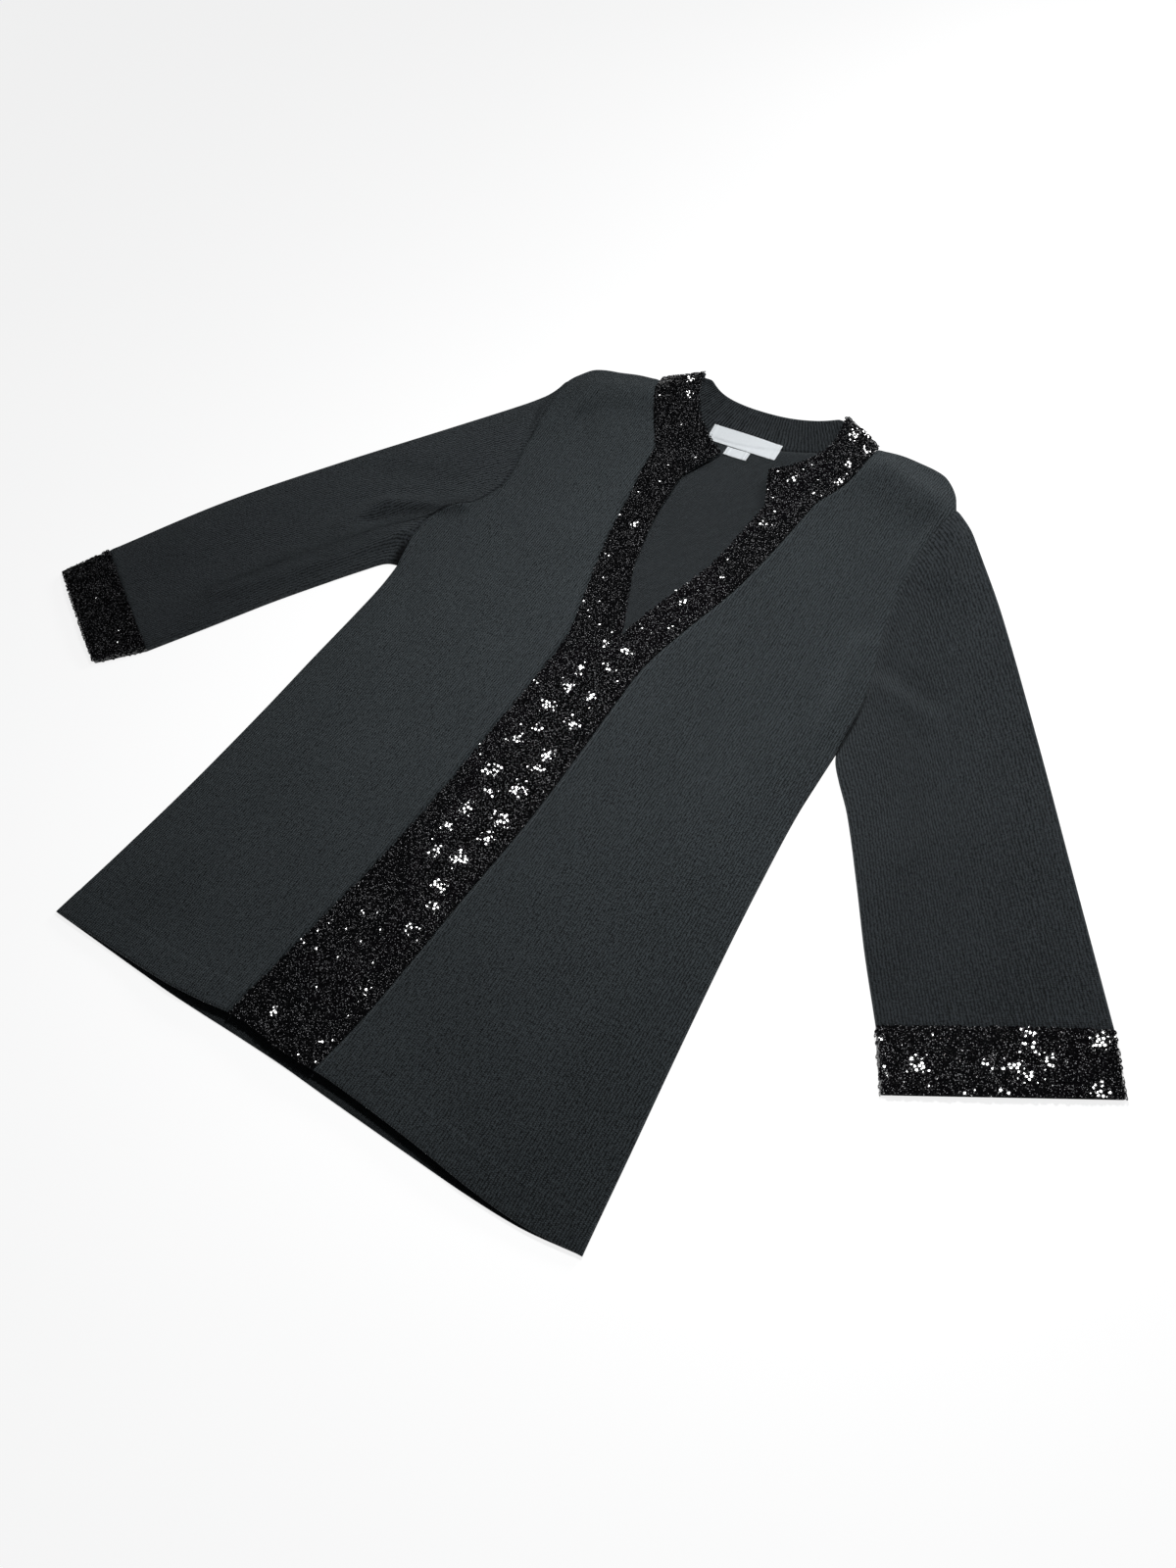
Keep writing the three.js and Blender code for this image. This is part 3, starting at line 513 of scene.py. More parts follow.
class Nodes:
    """A short way to write a node tree."""

    def __init__(self, name):
        self.material = bpy.data.materials.new(name)
        self.material.use_nodes = True
        self.tree = self.material.node_tree
        self.shader = self.tree.nodes["Principled BSDF"]

    def add(self, kind, **values):
        node = self.tree.nodes.new(kind)
        for key, value in values.items():
            setattr(node, key, value)
        return node

    def link(self, source, target):
        self.tree.links.new(source, target)

    def math(self, operation, a, b=0.0, c=0.0):
        node = self.add("ShaderNodeMath", operation=operation)
        for socket, value in zip(node.inputs, (a, b, c)):
            if isinstance(value, (int, float)):
                socket.default_value = value
            else:
                self.link(value, socket)
        return node.outputs[0]

    def noise(self, vector, scale, detail=2.0, roughness=0.5):
        node = self.add("ShaderNodeTexNoise")
        node.inputs["Scale"].default_value = scale
        node.inputs["Detail"].default_value = detail
        node.inputs["Roughness"].default_value = roughness
        self.link(vector, node.inputs["Vector"])
        return node.outputs["Fac"]

    def ramp(self, value, stops):
        node = self.add("ShaderNodeValToRGB")
        elements = node.color_ramp.elements
        while len(elements) < len(stops):
            elements.new(0.5)
        for element, (place, colour) in zip(elements, stops):
            element.position = place
            element.color = (*colour, 1)
        self.link(value, node.inputs["Fac"])
        return node.outputs["Color"]

    def bump(self, height, distance, strength=1.0, normal=None):
        node = self.add("ShaderNodeBump")
        node.inputs["Distance"].default_value = distance
        node.inputs["Strength"].default_value = strength
        self.link(height, node.inputs["Height"])
        if normal is not None:
            self.link(normal, node.inputs["Normal"])
        return node.outputs["Normal"]


def set_shader(shader, **values):
    for key, value in values.items():
        shader.inputs[key.replace("_", " ")].default_value = value


# Noises in the yarn's shade: (scale, detail, weight)
COARSE_GRAIN = (420, 1.0, 0.8)
FINE_GRAIN = (1150, 0.0, 0.7)
STREAKS = (430, 1.0, 0.3)
PATCHES = (14, 3.0, 0.2)
MEAN_NOISE = 0.5
MEAN_HEIGHT = 0.62
SHADE_CONTRAST = 0.6
SHADE_STOPS = (0.36, 0.66)
STREAK_SHAPE = (1, 0.2, 1)
SHEEN = 0.12
# how much painted shade darkens the knit's colour where a crease lies
PAINTED_CREASE_DARKENING = 0.95
FLECK_SCALE = 620
FLECK_ABOVE = 0.94  # the rarest cells of the yarn sparkle
FLECK_REACH = 0.34


def knit_material(name, wale, course, dark, light, depth, groove_shade, grain=1.0, sparkle=False,
                  shade_in_creases=False):
    """Stocking stitch: columns of V-shaped stitches, wale, course and depth in metres.

    groove_shade is painted shade of the stitches, darker in the grooves and lighter on their
    tops, and grain is how much the yarn's noise shows. With shade_in_creases, painted shade
    darkens the knit and its sheen fades where the mesh's crease_shade attribute says.
    """
    n = Nodes(name)
    place = n.add("ShaderNodeUVMap", uv_map="cloth").outputs["UV"]
    split = n.add("ShaderNodeSeparateXYZ")
    n.link(place, split.inputs[0])
    column = n.math("MULTIPLY", split.outputs["X"], 1 / wale)
    row = n.math("MULTIPLY", split.outputs["Y"], 1 / course)
    column = n.math("ADD", column, n.math("MULTIPLY", n.noise(place, 130, 2.0), 1.2))
    across = n.math("ABSOLUTE", n.math("SUBTRACT", n.math("FRACT", column), 0.5))
    ridge = n.math("SINE", n.math("MULTIPLY", n.math("SUBTRACT", 0.5, across), math.pi))
    slant = n.math("ADD", row, n.math("MULTIPLY", across, 1.1))
    stitch = n.math("SINE", n.math("MULTIPLY", slant, 2 * math.pi))
    height = n.math("MULTIPLY", ridge, n.math("MULTIPLY_ADD", stitch, 0.22, 0.78))
    height = n.math("ADD", height, n.math("MULTIPLY", n.noise(place, 2600, 2.0), 0.35))

    # Yarn shades: a fine grain, streaks along the wales and slow patches, added to painted shade of
    # the stitches, darker in their grooves and lighter on their tops
    along = n.add("ShaderNodeMapping")
    along.inputs["Scale"].default_value = STREAK_SHAPE
    n.link(place, along.inputs["Vector"])
    # Painted light and shade of the stitches: their tops lighter, the grooves between them darker
    shade = n.math("MULTIPLY", height, groove_shade)
    noises = ((place, COARSE_GRAIN, grain), (place, FINE_GRAIN, grain),
              (along.outputs[0], STREAKS, 1.0), (place, PATCHES, 1.0))
    middle = MEAN_HEIGHT * groove_shade
    for vector, (scale, detail, weight), share in noises:
        noise = n.math("MULTIPLY", n.noise(vector, scale, detail), weight * share)
        shade = n.math("ADD", shade, noise)
        middle += MEAN_NOISE * weight * share
    shade = n.math("MULTIPLY_ADD", shade, SHADE_CONTRAST, 0.5 - SHADE_CONTRAST * middle)
    colour = n.ramp(shade, tuple(zip(SHADE_STOPS, (dark, light))))
    # Painted shade in the creases: the colour darkens and the sheen fades by the crease_shade
    # attribute
    if shade_in_creases:
        crease_shade = n.add("ShaderNodeAttribute", attribute_name="crease_shade").outputs["Fac"]
        shadow = n.add("ShaderNodeVectorMath", operation="SCALE")
        n.link(colour, shadow.inputs[0])
        n.link(n.math("MULTIPLY_ADD", crease_shade, -PAINTED_CREASE_DARKENING, 1.0), shadow.inputs["Scale"])
        colour = shadow.outputs[0]
        n.link(n.math("MULTIPLY_ADD", crease_shade, -SHEEN, SHEEN), n.shader.inputs["Sheen Weight"])
    else:
        set_shader(n.shader, Sheen_Weight=SHEEN)
    n.link(colour, n.shader.inputs["Base Color"])
    if sparkle:
        cells = n.add("ShaderNodeTexVoronoi", feature="F1")
        cells.inputs["Scale"].default_value = FLECK_SCALE
        n.link(place, cells.inputs["Vector"])
        pick = n.add("ShaderNodeSeparateColor")
        n.link(cells.outputs["Color"], pick.inputs[0])
        rare = n.math("GREATER_THAN", pick.outputs["Red"], FLECK_ABOVE)
        near = n.math("LESS_THAN", cells.outputs["Distance"], FLECK_REACH)
        fleck = n.math("MULTIPLY", rare, near)
        n.link(n.math("MULTIPLY", fleck, 0.7), n.shader.inputs["Metallic"])
        n.link(n.math("MULTIPLY_ADD", fleck, -0.45, 0.9), n.shader.inputs["Roughness"])
    else:
        set_shader(n.shader, Roughness=0.9)
    n.link(n.bump(height, depth), n.shader.inputs["Normal"])
    set_shader(n.shader, Sheen_Roughness=0.5, Sheen_Tint=(0.75, 0.85, 0.9, 1),
               Specular_IOR_Level=0.2)
    return n.material


def sequin_material(name, colour, painted_glint, roughness):
    """Black film with pale specks painted in: painted glints at its creases and stitch holes."""
    n = Nodes(name)
    place = n.add("ShaderNodeTexCoord").outputs["Object"]
    cells = n.add("ShaderNodeTexVoronoi", feature="F1")
    cells.inputs["Scale"].default_value = 760
    n.link(place, cells.inputs["Vector"])
    pick = n.add("ShaderNodeSeparateColor")
    n.link(cells.outputs["Color"], pick.inputs[0])
    # Painted glints: the film's colour turns pale in small spots in a few cells
    near = n.math("LESS_THAN", cells.outputs["Distance"], 0.3)
    level = n.math("POWER", pick.outputs["Red"], 1.6)
    tone = n.math("MULTIPLY", near, level)
    n.link(n.ramp(tone, ((0.0, colour), (1.0, painted_glint))), n.shader.inputs["Base Color"])
    grain = n.noise(place, 900, 1.0)
    n.link(n.math("MULTIPLY_ADD", grain, 0.06, roughness - 0.03), n.shader.inputs["Roughness"])
    set_shader(n.shader, IOR=1.65)
    return n.material


def label_material(name, colour):
    """Woven tape: a fine over-and-under weave with a satin face."""
    n = Nodes(name)
    place = n.add("ShaderNodeUVMap", uv_map="cloth").outputs["UV"]
    split = n.add("ShaderNodeSeparateXYZ")
    n.link(place, split.inputs[0])
    warp = n.math("SINE", n.math("MULTIPLY", split.outputs["X"], 2 * math.pi / 0.00045))
    weft = n.math("SINE", n.math("MULTIPLY", split.outputs["Y"], 2 * math.pi / 0.0006))
    weave = n.math("MULTIPLY_ADD", n.math("MULTIPLY", warp, weft), 0.5, 0.5)
    shade = n.math("MULTIPLY_ADD", n.noise(place, 300, 3.0), 0.3, 0.35)
    shade = n.math("ADD", shade, n.math("MULTIPLY", weave, 0.35))
    dim = tuple(c * 0.82 for c in colour)
    n.link(n.ramp(shade, ((0.2, dim), (0.8, colour))), n.shader.inputs["Base Color"])
    n.link(n.bump(weave, 0.00008), n.shader.inputs["Normal"])
    set_shader(n.shader, Roughness=0.55, Sheen_Weight=0.3)
    return n.material


KNIT_DARK = (0.0015, 0.002, 0.0025)
KNIT_LIGHT = (0.042, 0.051, 0.056)
# The sleeves' knit is the body's knit painted darker, as painted shade on the sleeves
SLEEVE_SHADED_LIGHT = (0.036, 0.042, 0.047)
# The back's inside is darker partly as the purl side's own tone and partly as painted shade of the
# shadowed V
INSIDE_LIGHT_PURL_AND_SHADE = (0.018, 0.021, 0.024)
RIB_LIGHT = (0.030, 0.035, 0.039)
NET_DARK = (0.003, 0.003, 0.0033)
NET_LIGHT = (0.012, 0.012, 0.013)
FILM = (0.0035, 0.0035, 0.004)
# the pale colour of the painted glints on the sequins
FILM_PAINTED_GLINT = (0.4, 0.4, 0.415)
knit = knit_material("knit", 0.0023, 0.0015, KNIT_DARK, KNIT_LIGHT, 0.0011, groove_shade=0.75,
                     grain=1.5, sparkle=True, shade_in_creases=True)
sleeve_knit_shaded = knit_material("sleeve knit shaded", 0.0023, 0.0015, KNIT_DARK, SLEEVE_SHADED_LIGHT, 0.0008,
                            groove_shade=0.5, grain=1.3, sparkle=True, shade_in_creases=True)
rib_knit = knit_material("rib knit", 0.0031, 0.0014, KNIT_DARK, RIB_LIGHT, 0.0006, groove_shade=0.75)
knit_inside_shaded = knit_material("knit inside shaded", 0.0013, 0.0017, KNIT_DARK, INSIDE_LIGHT_PURL_AND_SHADE, 0.0007,
                            groove_shade=0.4, sparkle=True)
sequin_net = knit_material("sequin net", 0.0021, 0.0014, NET_DARK, NET_LIGHT, 0.0005, groove_shade=0.4)
sequin_black = sequin_material("sequin film", FILM, FILM_PAINTED_GLINT, 0.11)
label_white = label_material("label tape", (0.86, 0.9, 0.93))
thread = label_material("label thread", (0.7, 0.73, 0.76))


# Fronts and back

def spread(count, crowd=0.45):
    """Shares from 0 to 1 that crowd towards both ends."""
    t = np.linspace(0, 1, count)
    return mix(t, 0.5 - 0.5 * np.cos(math.pi * t), crowd)


def hem_share(y):
    return np.maximum(1 - y / HEM_FADE, 0)


def spaced(table):
    """Numbers spaced evenly over each row of a table: from, to, how many."""
    return np.concatenate([np.linspace(*row) for row in table])


def front_plan(hand, row_y, t):
    sign = HANDS[hand]
    inner_y = row_y * NECK_Y / SHOULDER_Y
    outer_x = sign * side_at[hand](row_y)
    inner_x = front_edge_at[hand](inner_y) + sign * SEAM_GAP / 2
    x = mix(outer_x, inner_x, t)
    y = mix(row_y, inner_y, t)
    on_shoulder = shoulder_at[hand](np.maximum(np.abs(x), NECK_X))
    straight = mix(SHOULDER_Y, NECK_Y, t)
    lift = np.clip((row_y - SHOULDER_FROM) / (SHOULDER_Y - SHOULDER_FROM), 0, 1)
    y = y + (on_shoulder - straight) * lift
    return x, y + front_hem_at(x) * hem_share(y)


def make_front(hand, seed):
    row_y, t = np.meshgrid(spaced(FRONT_ROWS), spread(FRONT_COLUMNS), indexing="ij")
    x, y = front_plan(hand, row_y, t)
    low = body_height(x, y)
    edge = front_edge_at[hand](row_y * NECK_Y / SHOULDER_Y)
    to_band = np.abs(x - edge)
    to_armhole = np.where(row_y > UNDERARM_Y, side_at[hand](row_y) - np.abs(x), FAR)
    to_shoulder = np.maximum(SHOULDER_Y - row_y, 0)
    detail = softness(x, y, seed) * open_up(inside_body(x, y))
    detail = detail * np.clip(to_band / NEAR_BAND, 0, 1)
    detail += (SEAM_SHARE["armhole"] * seam_dip(to_armhole) + SEAM_SHARE["band"] * seam_dip(to_band)
               + SEAM_SHARE["shoulder"] * seam_dip(to_shoulder + 1))
    detail += turned_hem(row_y)
    tuck = armhole_tuck(hand, row_y)
    detail += TUCK_SEAM * tuck * np.exp(-(to_armhole / SEAM_PULL_RUN)**2)
    lip = tuck * np.exp(-(to_armhole / TUCK_LIP_RUN)**2)
    x = x + HANDS[hand] * TUCK_LIP * lip
    low = low + TUCK_RISE * lip
    upper = stacked(x, y, low + WALL + detail)
    lower = stacked(x, y, low)
    # Painted shade: a dark line along the front's edge where the sleeve tucks under it
    crease_shade = tuck * np.exp(-(to_armhole / TUCK_EDGE)**2)
    return shell(f"front_{hand}_cloth", upper, lower, stacked(x, y), knit,
                 crease_shade=crease_shade.ravel())


def armhole_tuck(hand, row_y):
    """How far each row of the sleeve's head is tucked in below the front, from 0 to 1."""
    top, run, depth = TUCKS[hand]
    share = np.clip((top - row_y) / run, 0, 1) * (row_y > UNDERARM_Y - 1)
    return depth * share * share * (3 - 2 * share)


def turned_hem(row_y):
    """The turned-up hem is thicker and a line of stitches draws in its upper edge."""
    past = row_y - HEM_DEPTH
    fold = 0.5 - 0.5 * np.tanh(past / HEM_EDGE_RUN)
    return HEM_THICKER * fold - HEM_STITCH_DIP * np.exp(-(past / HEM_STITCH_RUN)**2)


def make_back(seed):
    rows = np.concatenate([np.linspace(0, UNDERARM_Y, BACK_ROWS[0]),
                           np.linspace(UNDERARM_Y, SHOULDER_Y, BACK_ROWS[1])[1:]])
    top_half = {hand: float(side_at[hand](SHOULDER_Y)) for hand in HANDS}
    columns = np.unique(np.concatenate([
        np.linspace(-1, 1, BACK_COLUMNS),
        [-NECK_X / top_half["right"], NECK_X / top_half["left"]]]))
    row_y, u = np.meshgrid(rows, columns, indexing="ij")
    half = np.where(u < 0, side_at["right"](row_y), side_at["left"](row_y))
    x = u * half
    top_x = u * np.where(u < 0, top_half["right"], top_half["left"])
    neck = neckline_at(np.clip(top_x, -NECK_X, NECK_X))
    shoulder = by_hand(top_x, shoulder_at, np.clip(np.abs(top_x), NECK_X, SHOULDER_X))
    top_y = np.where(np.abs(top_x) <= NECK_X, neck, shoulder)
    y = row_y * top_y / SHOULDER_Y
    y = y + back_hem_at(x) * hem_share(y)
    ripple, length = BACK_RIPPLE
    detail = ripple * waves(x, y, length, seed) + BACK_HEM_SHARE * turned_hem(row_y)
    upper = stacked(x, y, WALL - BACK_SUNK + detail)
    lower = stacked(x, y, np.zeros_like(x))
    return shell("back_cloth", upper, lower, stacked(x, y), knit_inside_shaded, radius=0.6)


# Bands

def band_point(hand, row_y, t):
    """t is 0 at the seam with the front and 1 at the free edge. Gives x, y and height."""
    sign = HANDS[hand]
    inner_y = row_y * NECK_Y / SHOULDER_Y
    free_y = inner_y - band_fall_at[hand](inner_y)
    seam_x = front_edge_at[hand](inner_y) - sign * SEAM_GAP / 2
    free_x = opening_at[hand](free_y) + sign * SEAM_GAP / 2
    x = mix(seam_x, free_x, t)
    y = mix(inner_y, free_y, t)
    y = y + front_hem_at(x) * hem_share(y)
    curl = BAND_CURL * t * t * open_up(np.maximum(inner_y - CURL_FROM, 0))
    return x, y, body_height(x, y) + curl


def make_band(hand):
    rows = np.linspace(0, BAND_TOP_ROW, BAND_ROWS)
    row_y, t = np.meshgrid(rows, spread(BAND_COLUMNS, 0.3), indexing="ij")
    x, y, low = band_point(hand, row_y, t)
    upper = stacked(x, y, low + WALL)
    lower = stacked(x, y, low)
    piece = shell(f"band_{hand}_cloth", upper, lower, stacked(x, y), sequin_net)
    return piece, upper


# Sleeves and cuffs

def sleeve_plan(hand, q, s):
    """q is 0 at the underarm edge and 1 at the outer edge, s is 0 at the armhole."""
    cut = SLEEVES[hand]
    row_y = mix(UNDERARM_Y, SHOULDER_Y, q)
    start_x = side_at[hand](row_y) - SEWN
    end_x = mix(cut["inner"][0], cut["outer"][0], q)
    end_y = mix(cut["inner"][1], cut["outer"][1], q)
    across = sleeve_across(hand)
    inner_bow, outer_bow = sleeve_bow[hand]
    bow = mix(inner_bow(s), outer_bow(s), q)
    x = mix(start_x, end_x, s) + across[0] * bow
    y = mix(row_y, end_y, s) + across[1] * bow
    return HANDS[hand] * x, y


def sleeve_across(hand):
    cut = SLEEVES[hand]
    step = np.subtract(cut["outer"], cut["inner"])
    return step / np.linalg.norm(step)


def cuff_plan(hand, q, s):
    cut = SLEEVES[hand]
    along = mix(-SEWN / CUFF_LENGTH, 1, s)
    points = [mix(mix(cut["inner"][i], cut["outer"][i], q),
                  mix(cut["inner_end"][i], cut["outer_end"][i], q), along) for i in (0, 1)]
    return HANDS[hand] * points[0], points[1]


def sleeve_height(hand, q, s, x, y):
    width = mix(ARMHOLE_WIDTH, CUFF_WIDTH, np.minimum(s * HEAD_TAPER, 1))
    on_sleeve = upper_layer(x, y, SLEEVES[hand]["loft"], np.minimum(q, 1 - q) * width)
    over = mix(body_height(x, y), on_sleeve, np.minimum(s / HEAD_SHARE, 1))
    tuck = armhole_tuck(hand, mix(UNDERARM_Y, SHOULDER_Y, q))
    return mix(over, LAYER - TUCK_DEPTH, tuck * np.exp(-(s * SLEEVE_LENGTH / TUCK_RUN)**2))


def cuff_height(hand, q, x, y):
    return upper_layer(x, y, SLEEVES[hand]["loft"], np.minimum(q, 1 - q) * CUFF_WIDTH)


TUBE_SHARES = spread(TUBE_COLUMNS, 0.6)
EDGE_INSIDE = 0.6  # the inner wall turns round this far out in its margin
EDGE_UV = 0.01  # the cloth's own place runs on by this share round an edge
UNDER_UV = 0.003


def flat_rings(plan, height, detail, stations, widths, inside):
    """Rings of a tube laid flat: over the top from the inner edge and back below."""
    rings = []
    for s, width in zip(stations, widths):
        margin = WALL / width if inside else 0
        q = mix(margin, 1 - margin, TUBE_SHARES)
        s_here = np.full_like(q, s)
        x, y = plan(q, s_here)
        top = height(q, s_here, x, y) + (0 if inside else WALL + detail(q, s_here, x, y))
        bottom = np.full_like(top, WALL if inside else 0.0)
        middle = LAYER - SEAM_GAP / 2
        out = (margin / 2 if inside else -1 / width) * (s > 0 or inside)
        near = np.array([out * (EDGE_INSIDE if inside else 1)])
        edges = []
        for share in (near, 1 - near):
            ex, ey = plan(share, np.array([s]))
            edges.append(np.stack([ex, ey, np.array([middle])], axis=-1))
        over = stacked(x, y, top)
        back = stacked(x, y, bottom)[::-1]
        rings.append(np.concatenate([edges[0], over, edges[1], back]))
    return np.array(rings)


def ring_uv(stations, length):
    q = np.concatenate([[-EDGE_UV], TUBE_SHARES, [1 + EDGE_UV], TUBE_SHARES[::-1] + UNDER_UV])
    return np.array([[(share * CUFF_WIDTH, s * length) for share in q] for s in stations])


def flat_tube(name, plan, height, detail, stations, widths, length, material, crease_shade=None):
    """A tube laid flat, and the points of its upper side."""
    outer = flat_rings(plan, height, detail, stations, widths, False)
    inner = flat_rings(plan, height, detail, stations, widths, True)
    piece = tube(name, outer, inner, ring_uv(stations, length), material, crease_shade)
    return piece, outer[:, :TUBE_COLUMNS + 2]


def make_sleeve(hand, seed):
    stations = spaced(SLEEVE_STATIONS)
    widths = mix(ARMHOLE_WIDTH, CUFF_WIDTH, stations)

    def detail(q, s, x, y):
        ends = (SEAM_SHARE["armhole"] * seam_dip(s * SLEEVE_LENGTH * HEAD_SLANT)
                + SEAM_SHARE["cuff"] * seam_dip((1 - s) * SLEEVE_LENGTH))
        width = mix(ARMHOLE_WIDTH, CUFF_WIDTH, s)
        edge = open_up(np.minimum(q, 1 - q) * width)
        return ends + softness(x, y, seed) * edge * np.clip(s * NEAR_HEAD, 0, 1)

    # Painted shade on the sleeve's tucked cloth, below the front's edge at the armhole
    row_y = np.concatenate([[UNDERARM_Y], mix(UNDERARM_Y, SHOULDER_Y, TUBE_SHARES)])
    fold = armhole_tuck(hand, row_y)
    down = stations[:, None] * SLEEVE_LENGTH / np.maximum(TUCK_SHADE * fold[None, :], 0.01)
    crease_shade = np.zeros((len(stations), 2 * TUBE_COLUMNS + 2))
    crease_shade[:, :len(row_y)] = fold[None, :] * np.exp(-down**4)
    return flat_tube(f"sleeve_{hand}_cloth", partial(sleeve_plan, hand),
                     partial(sleeve_height, hand), detail, stations, widths, SLEEVE_LENGTH,
                     sleeve_knit_shaded, crease_shade.ravel())[0]


def make_cuff(hand):
    stations = np.linspace(0, 1, CUFF_STATIONS)
    widths = np.full(CUFF_STATIONS, float(CUFF_WIDTH))

    def height(q, s, x, y):
        return cuff_height(hand, q, x, y)

    def detail(q, s, x, y):
        return 0 * q

    return flat_tube(f"cuff_{hand}_cloth", partial(cuff_plan, hand), height, detail, stations,
                     widths, CUFF_LENGTH, sequin_net)


# Collar

def collar_middle():
    """Seam and free edge of the strip, from the right front end round to the left, and the
    numbers of the first and the last row at the back."""
    def front_rows(hand):
        into = -HANDS[hand] * COLLAR_SEWN
        rows = []
        for seam_x, seam_y, free_x, free_y, free_z in COLLAR_FRONT[hand]:
            on_front = body_height(np.array(seam_x, float), np.array(seam_y, float))
            seam_z = max(float(on_front) + WALL / 2, COLLAR_SEAM_LOW)
            rows.append(((seam_x + into, seam_y + COLLAR_SEWN, seam_z),
                         (free_x, free_y, free_z)))
        return rows

    def fold_rows(hand):
        side = HANDS[hand]
        corner = COLLAR_CORNER[hand]
        seam = (side * (NECK_X - COLLAR_FOLD_IN), NECK_Y + COLLAR_FOLD_UP)
        step = np.subtract(corner, seam)
        length = np.linalg.norm(step)
        outwards = np.array([side * step[1], -side * step[0]]) / length
        rows = []
        for i in range(COLLAR_FOLD_ROWS):
            angle = math.pi * i / (COLLAR_FOLD_ROWS - 1)

            def turn(x, y, z, radius):
                return (x + outwards[0] * radius * math.sin(angle),
                        y + outwards[1] * radius * math.sin(angle), z + radius * math.cos(angle))

            rows.append((turn(*seam, WALL / 2 + SEAM_RADIUS, SEAM_RADIUS),
                         turn(*corner, COLLAR_CORNER_Z, CORNER_RADIUS)))
        return rows if hand == "right" else rows[::-1]

    def back_rows():
        free = [smooth_table(COLLAR_BACK, 0, column) for column in (1, 2, 3)]
        rows = []
        for x in np.linspace(COLLAR_BACK[0][0], COLLAR_BACK[-1][0], COLLAR_BACK_ROWS):
            rows.append(((x, float(neckline_at(x)) + COLLAR_SEWN, WALL / 2),
                         tuple(float(read(x)) for read in free)))
        return rows

    right, left = front_rows("right"), front_rows("left")
    rows = right + fold_rows("right") + back_rows() + fold_rows("left") + left[::-1]
    first = len(right) + COLLAR_FOLD_ROWS
    return np.array(rows), first, first + COLLAR_BACK_ROWS - 1


def resample(rows, step):
    """Evenly spaced rows along the strip, on a smooth curve through the given ones."""
    middle = rows.mean(axis=1)
    run = np.concatenate([[0], np.cumsum(np.linalg.norm(np.diff(middle, axis=0), axis=1))])
    count = int(run[-1] / step)
    at = np.linspace(0, run[-1], count)
    fine = np.empty((count, 2, 3))
    for edge in (0, 1):
        for axis in range(3):
            table = np.stack([run, rows[:, edge, axis]], axis=1)
            fine[:, edge, axis] = smooth_table(table, 0, 1)(at)
    return fine, at, run


def collar_surface():
    rows, first, last = collar_middle()
    fine, at, run = resample(rows, COLLAR_STEP)
    across = np.linspace(0, 1, COLLAR_COLUMNS)
    middle = mix(fine[:, None, 0], fine[:, None, 1], across[None, :, None])
    along = np.gradient(middle, axis=0)
    rise = (fine[:, 1] - fine[:, 0])[:, None, :] * np.ones((1, len(across), 1))
    normal = np.cross(rise, along)
    normal /= np.linalg.norm(normal, axis=-1, keepdims=True)
    return middle, normal, at, across, (run[first], run[last])


def make_collar():
    middle, normal, at, across, (start, end) = collar_surface()
    past = np.minimum(at - (start - RIB_PAST), (end + RIB_PAST) - at)
    ribbed = np.clip(past / RIB_FADE, 0, 1)
    phase = at / RIB_PITCH * 2 * math.pi
    rib = RIB_RISE * np.cos(phase) * ribbed
    fade = np.clip(np.minimum(across / RIB_EDGES[0], (1 - across) / RIB_EDGES[1]), 0, 1)
    rib = rib[:, None] * fade[None, :]
    outside = middle + normal * WALL / 2
    inside = middle - normal * (WALL / 2 + RIB_LOFT * ribbed[:, None] + rib)[..., None]
    inside[..., 2] = np.maximum(inside[..., 2], RIB_CLEAR)
    outside[..., 2] = np.maximum(outside[..., 2], COLLAR_CLEAR)
    uv = np.stack(np.broadcast_arrays(at[:, None], across[None, :] * COLLAR_HEIGHT), axis=-1)
    piece = shell("collar_cloth", outside, inside, uv, rib_knit, radius=0.6)
    fronts = {"right": outside[at < start - SEQUINS_FROM],
              "left": outside[at > end + SEQUINS_FROM][::-1]}
    return piece, fronts


# Sequins

SEQUIN_RADIUS = 1.95
SEQUIN_HOLE = 0.42
SEQUIN_CUP = 0.05
SEQUIN_RIM = 0.3
SEQUIN_PITCH = 3.0
SEQUIN_TILT = 0.12  # radians, how unevenly they lie
SEQUIN_SIZES = 0.04  # how much they differ in size
SEQUIN_LIFT = (0.35, 1.05)  # lowest and highest over the cloth
SEQUIN_CLEAR = 0.05  # none comes nearer to the table
SEQUIN_MARGIN = 0.3  # from a row's end to the first and last
ROW_STEP = 0.86  # of the pitch, from row to row
FIRST_ROW = 0.4  # of a row's step, from the edge
ROW_START = 0.25  # of the pitch, and half a pitch more in every other row
STRAY = 0.45  # along the row
ROW_STRAY = 0.12  # out of the row, in rows of the grid
NEARBY = 0.4  # where the slope of the cloth is read, in rows and columns
LAST_CELL = 1.001  # keeps a place inside the grid's last cell
DULL_ANGLE = (0.17, 0.3)  # radians from where a sequin would flash
GLINT_ANGLE = (0.09, 0.14)
GLINTS = 0.007
FLASH_STRAY = 4.5  # millimetres, how loose a cluster is
FLASH_TILT = 0.02
BESIDE_FLASH = 5  # a cluster and what is bright beside it, in times the cluster
BESIDE_TILT = 0.13
SIDES = 8
KEY_AT = (215, 440, 740)  # the key light, in the garment's frame

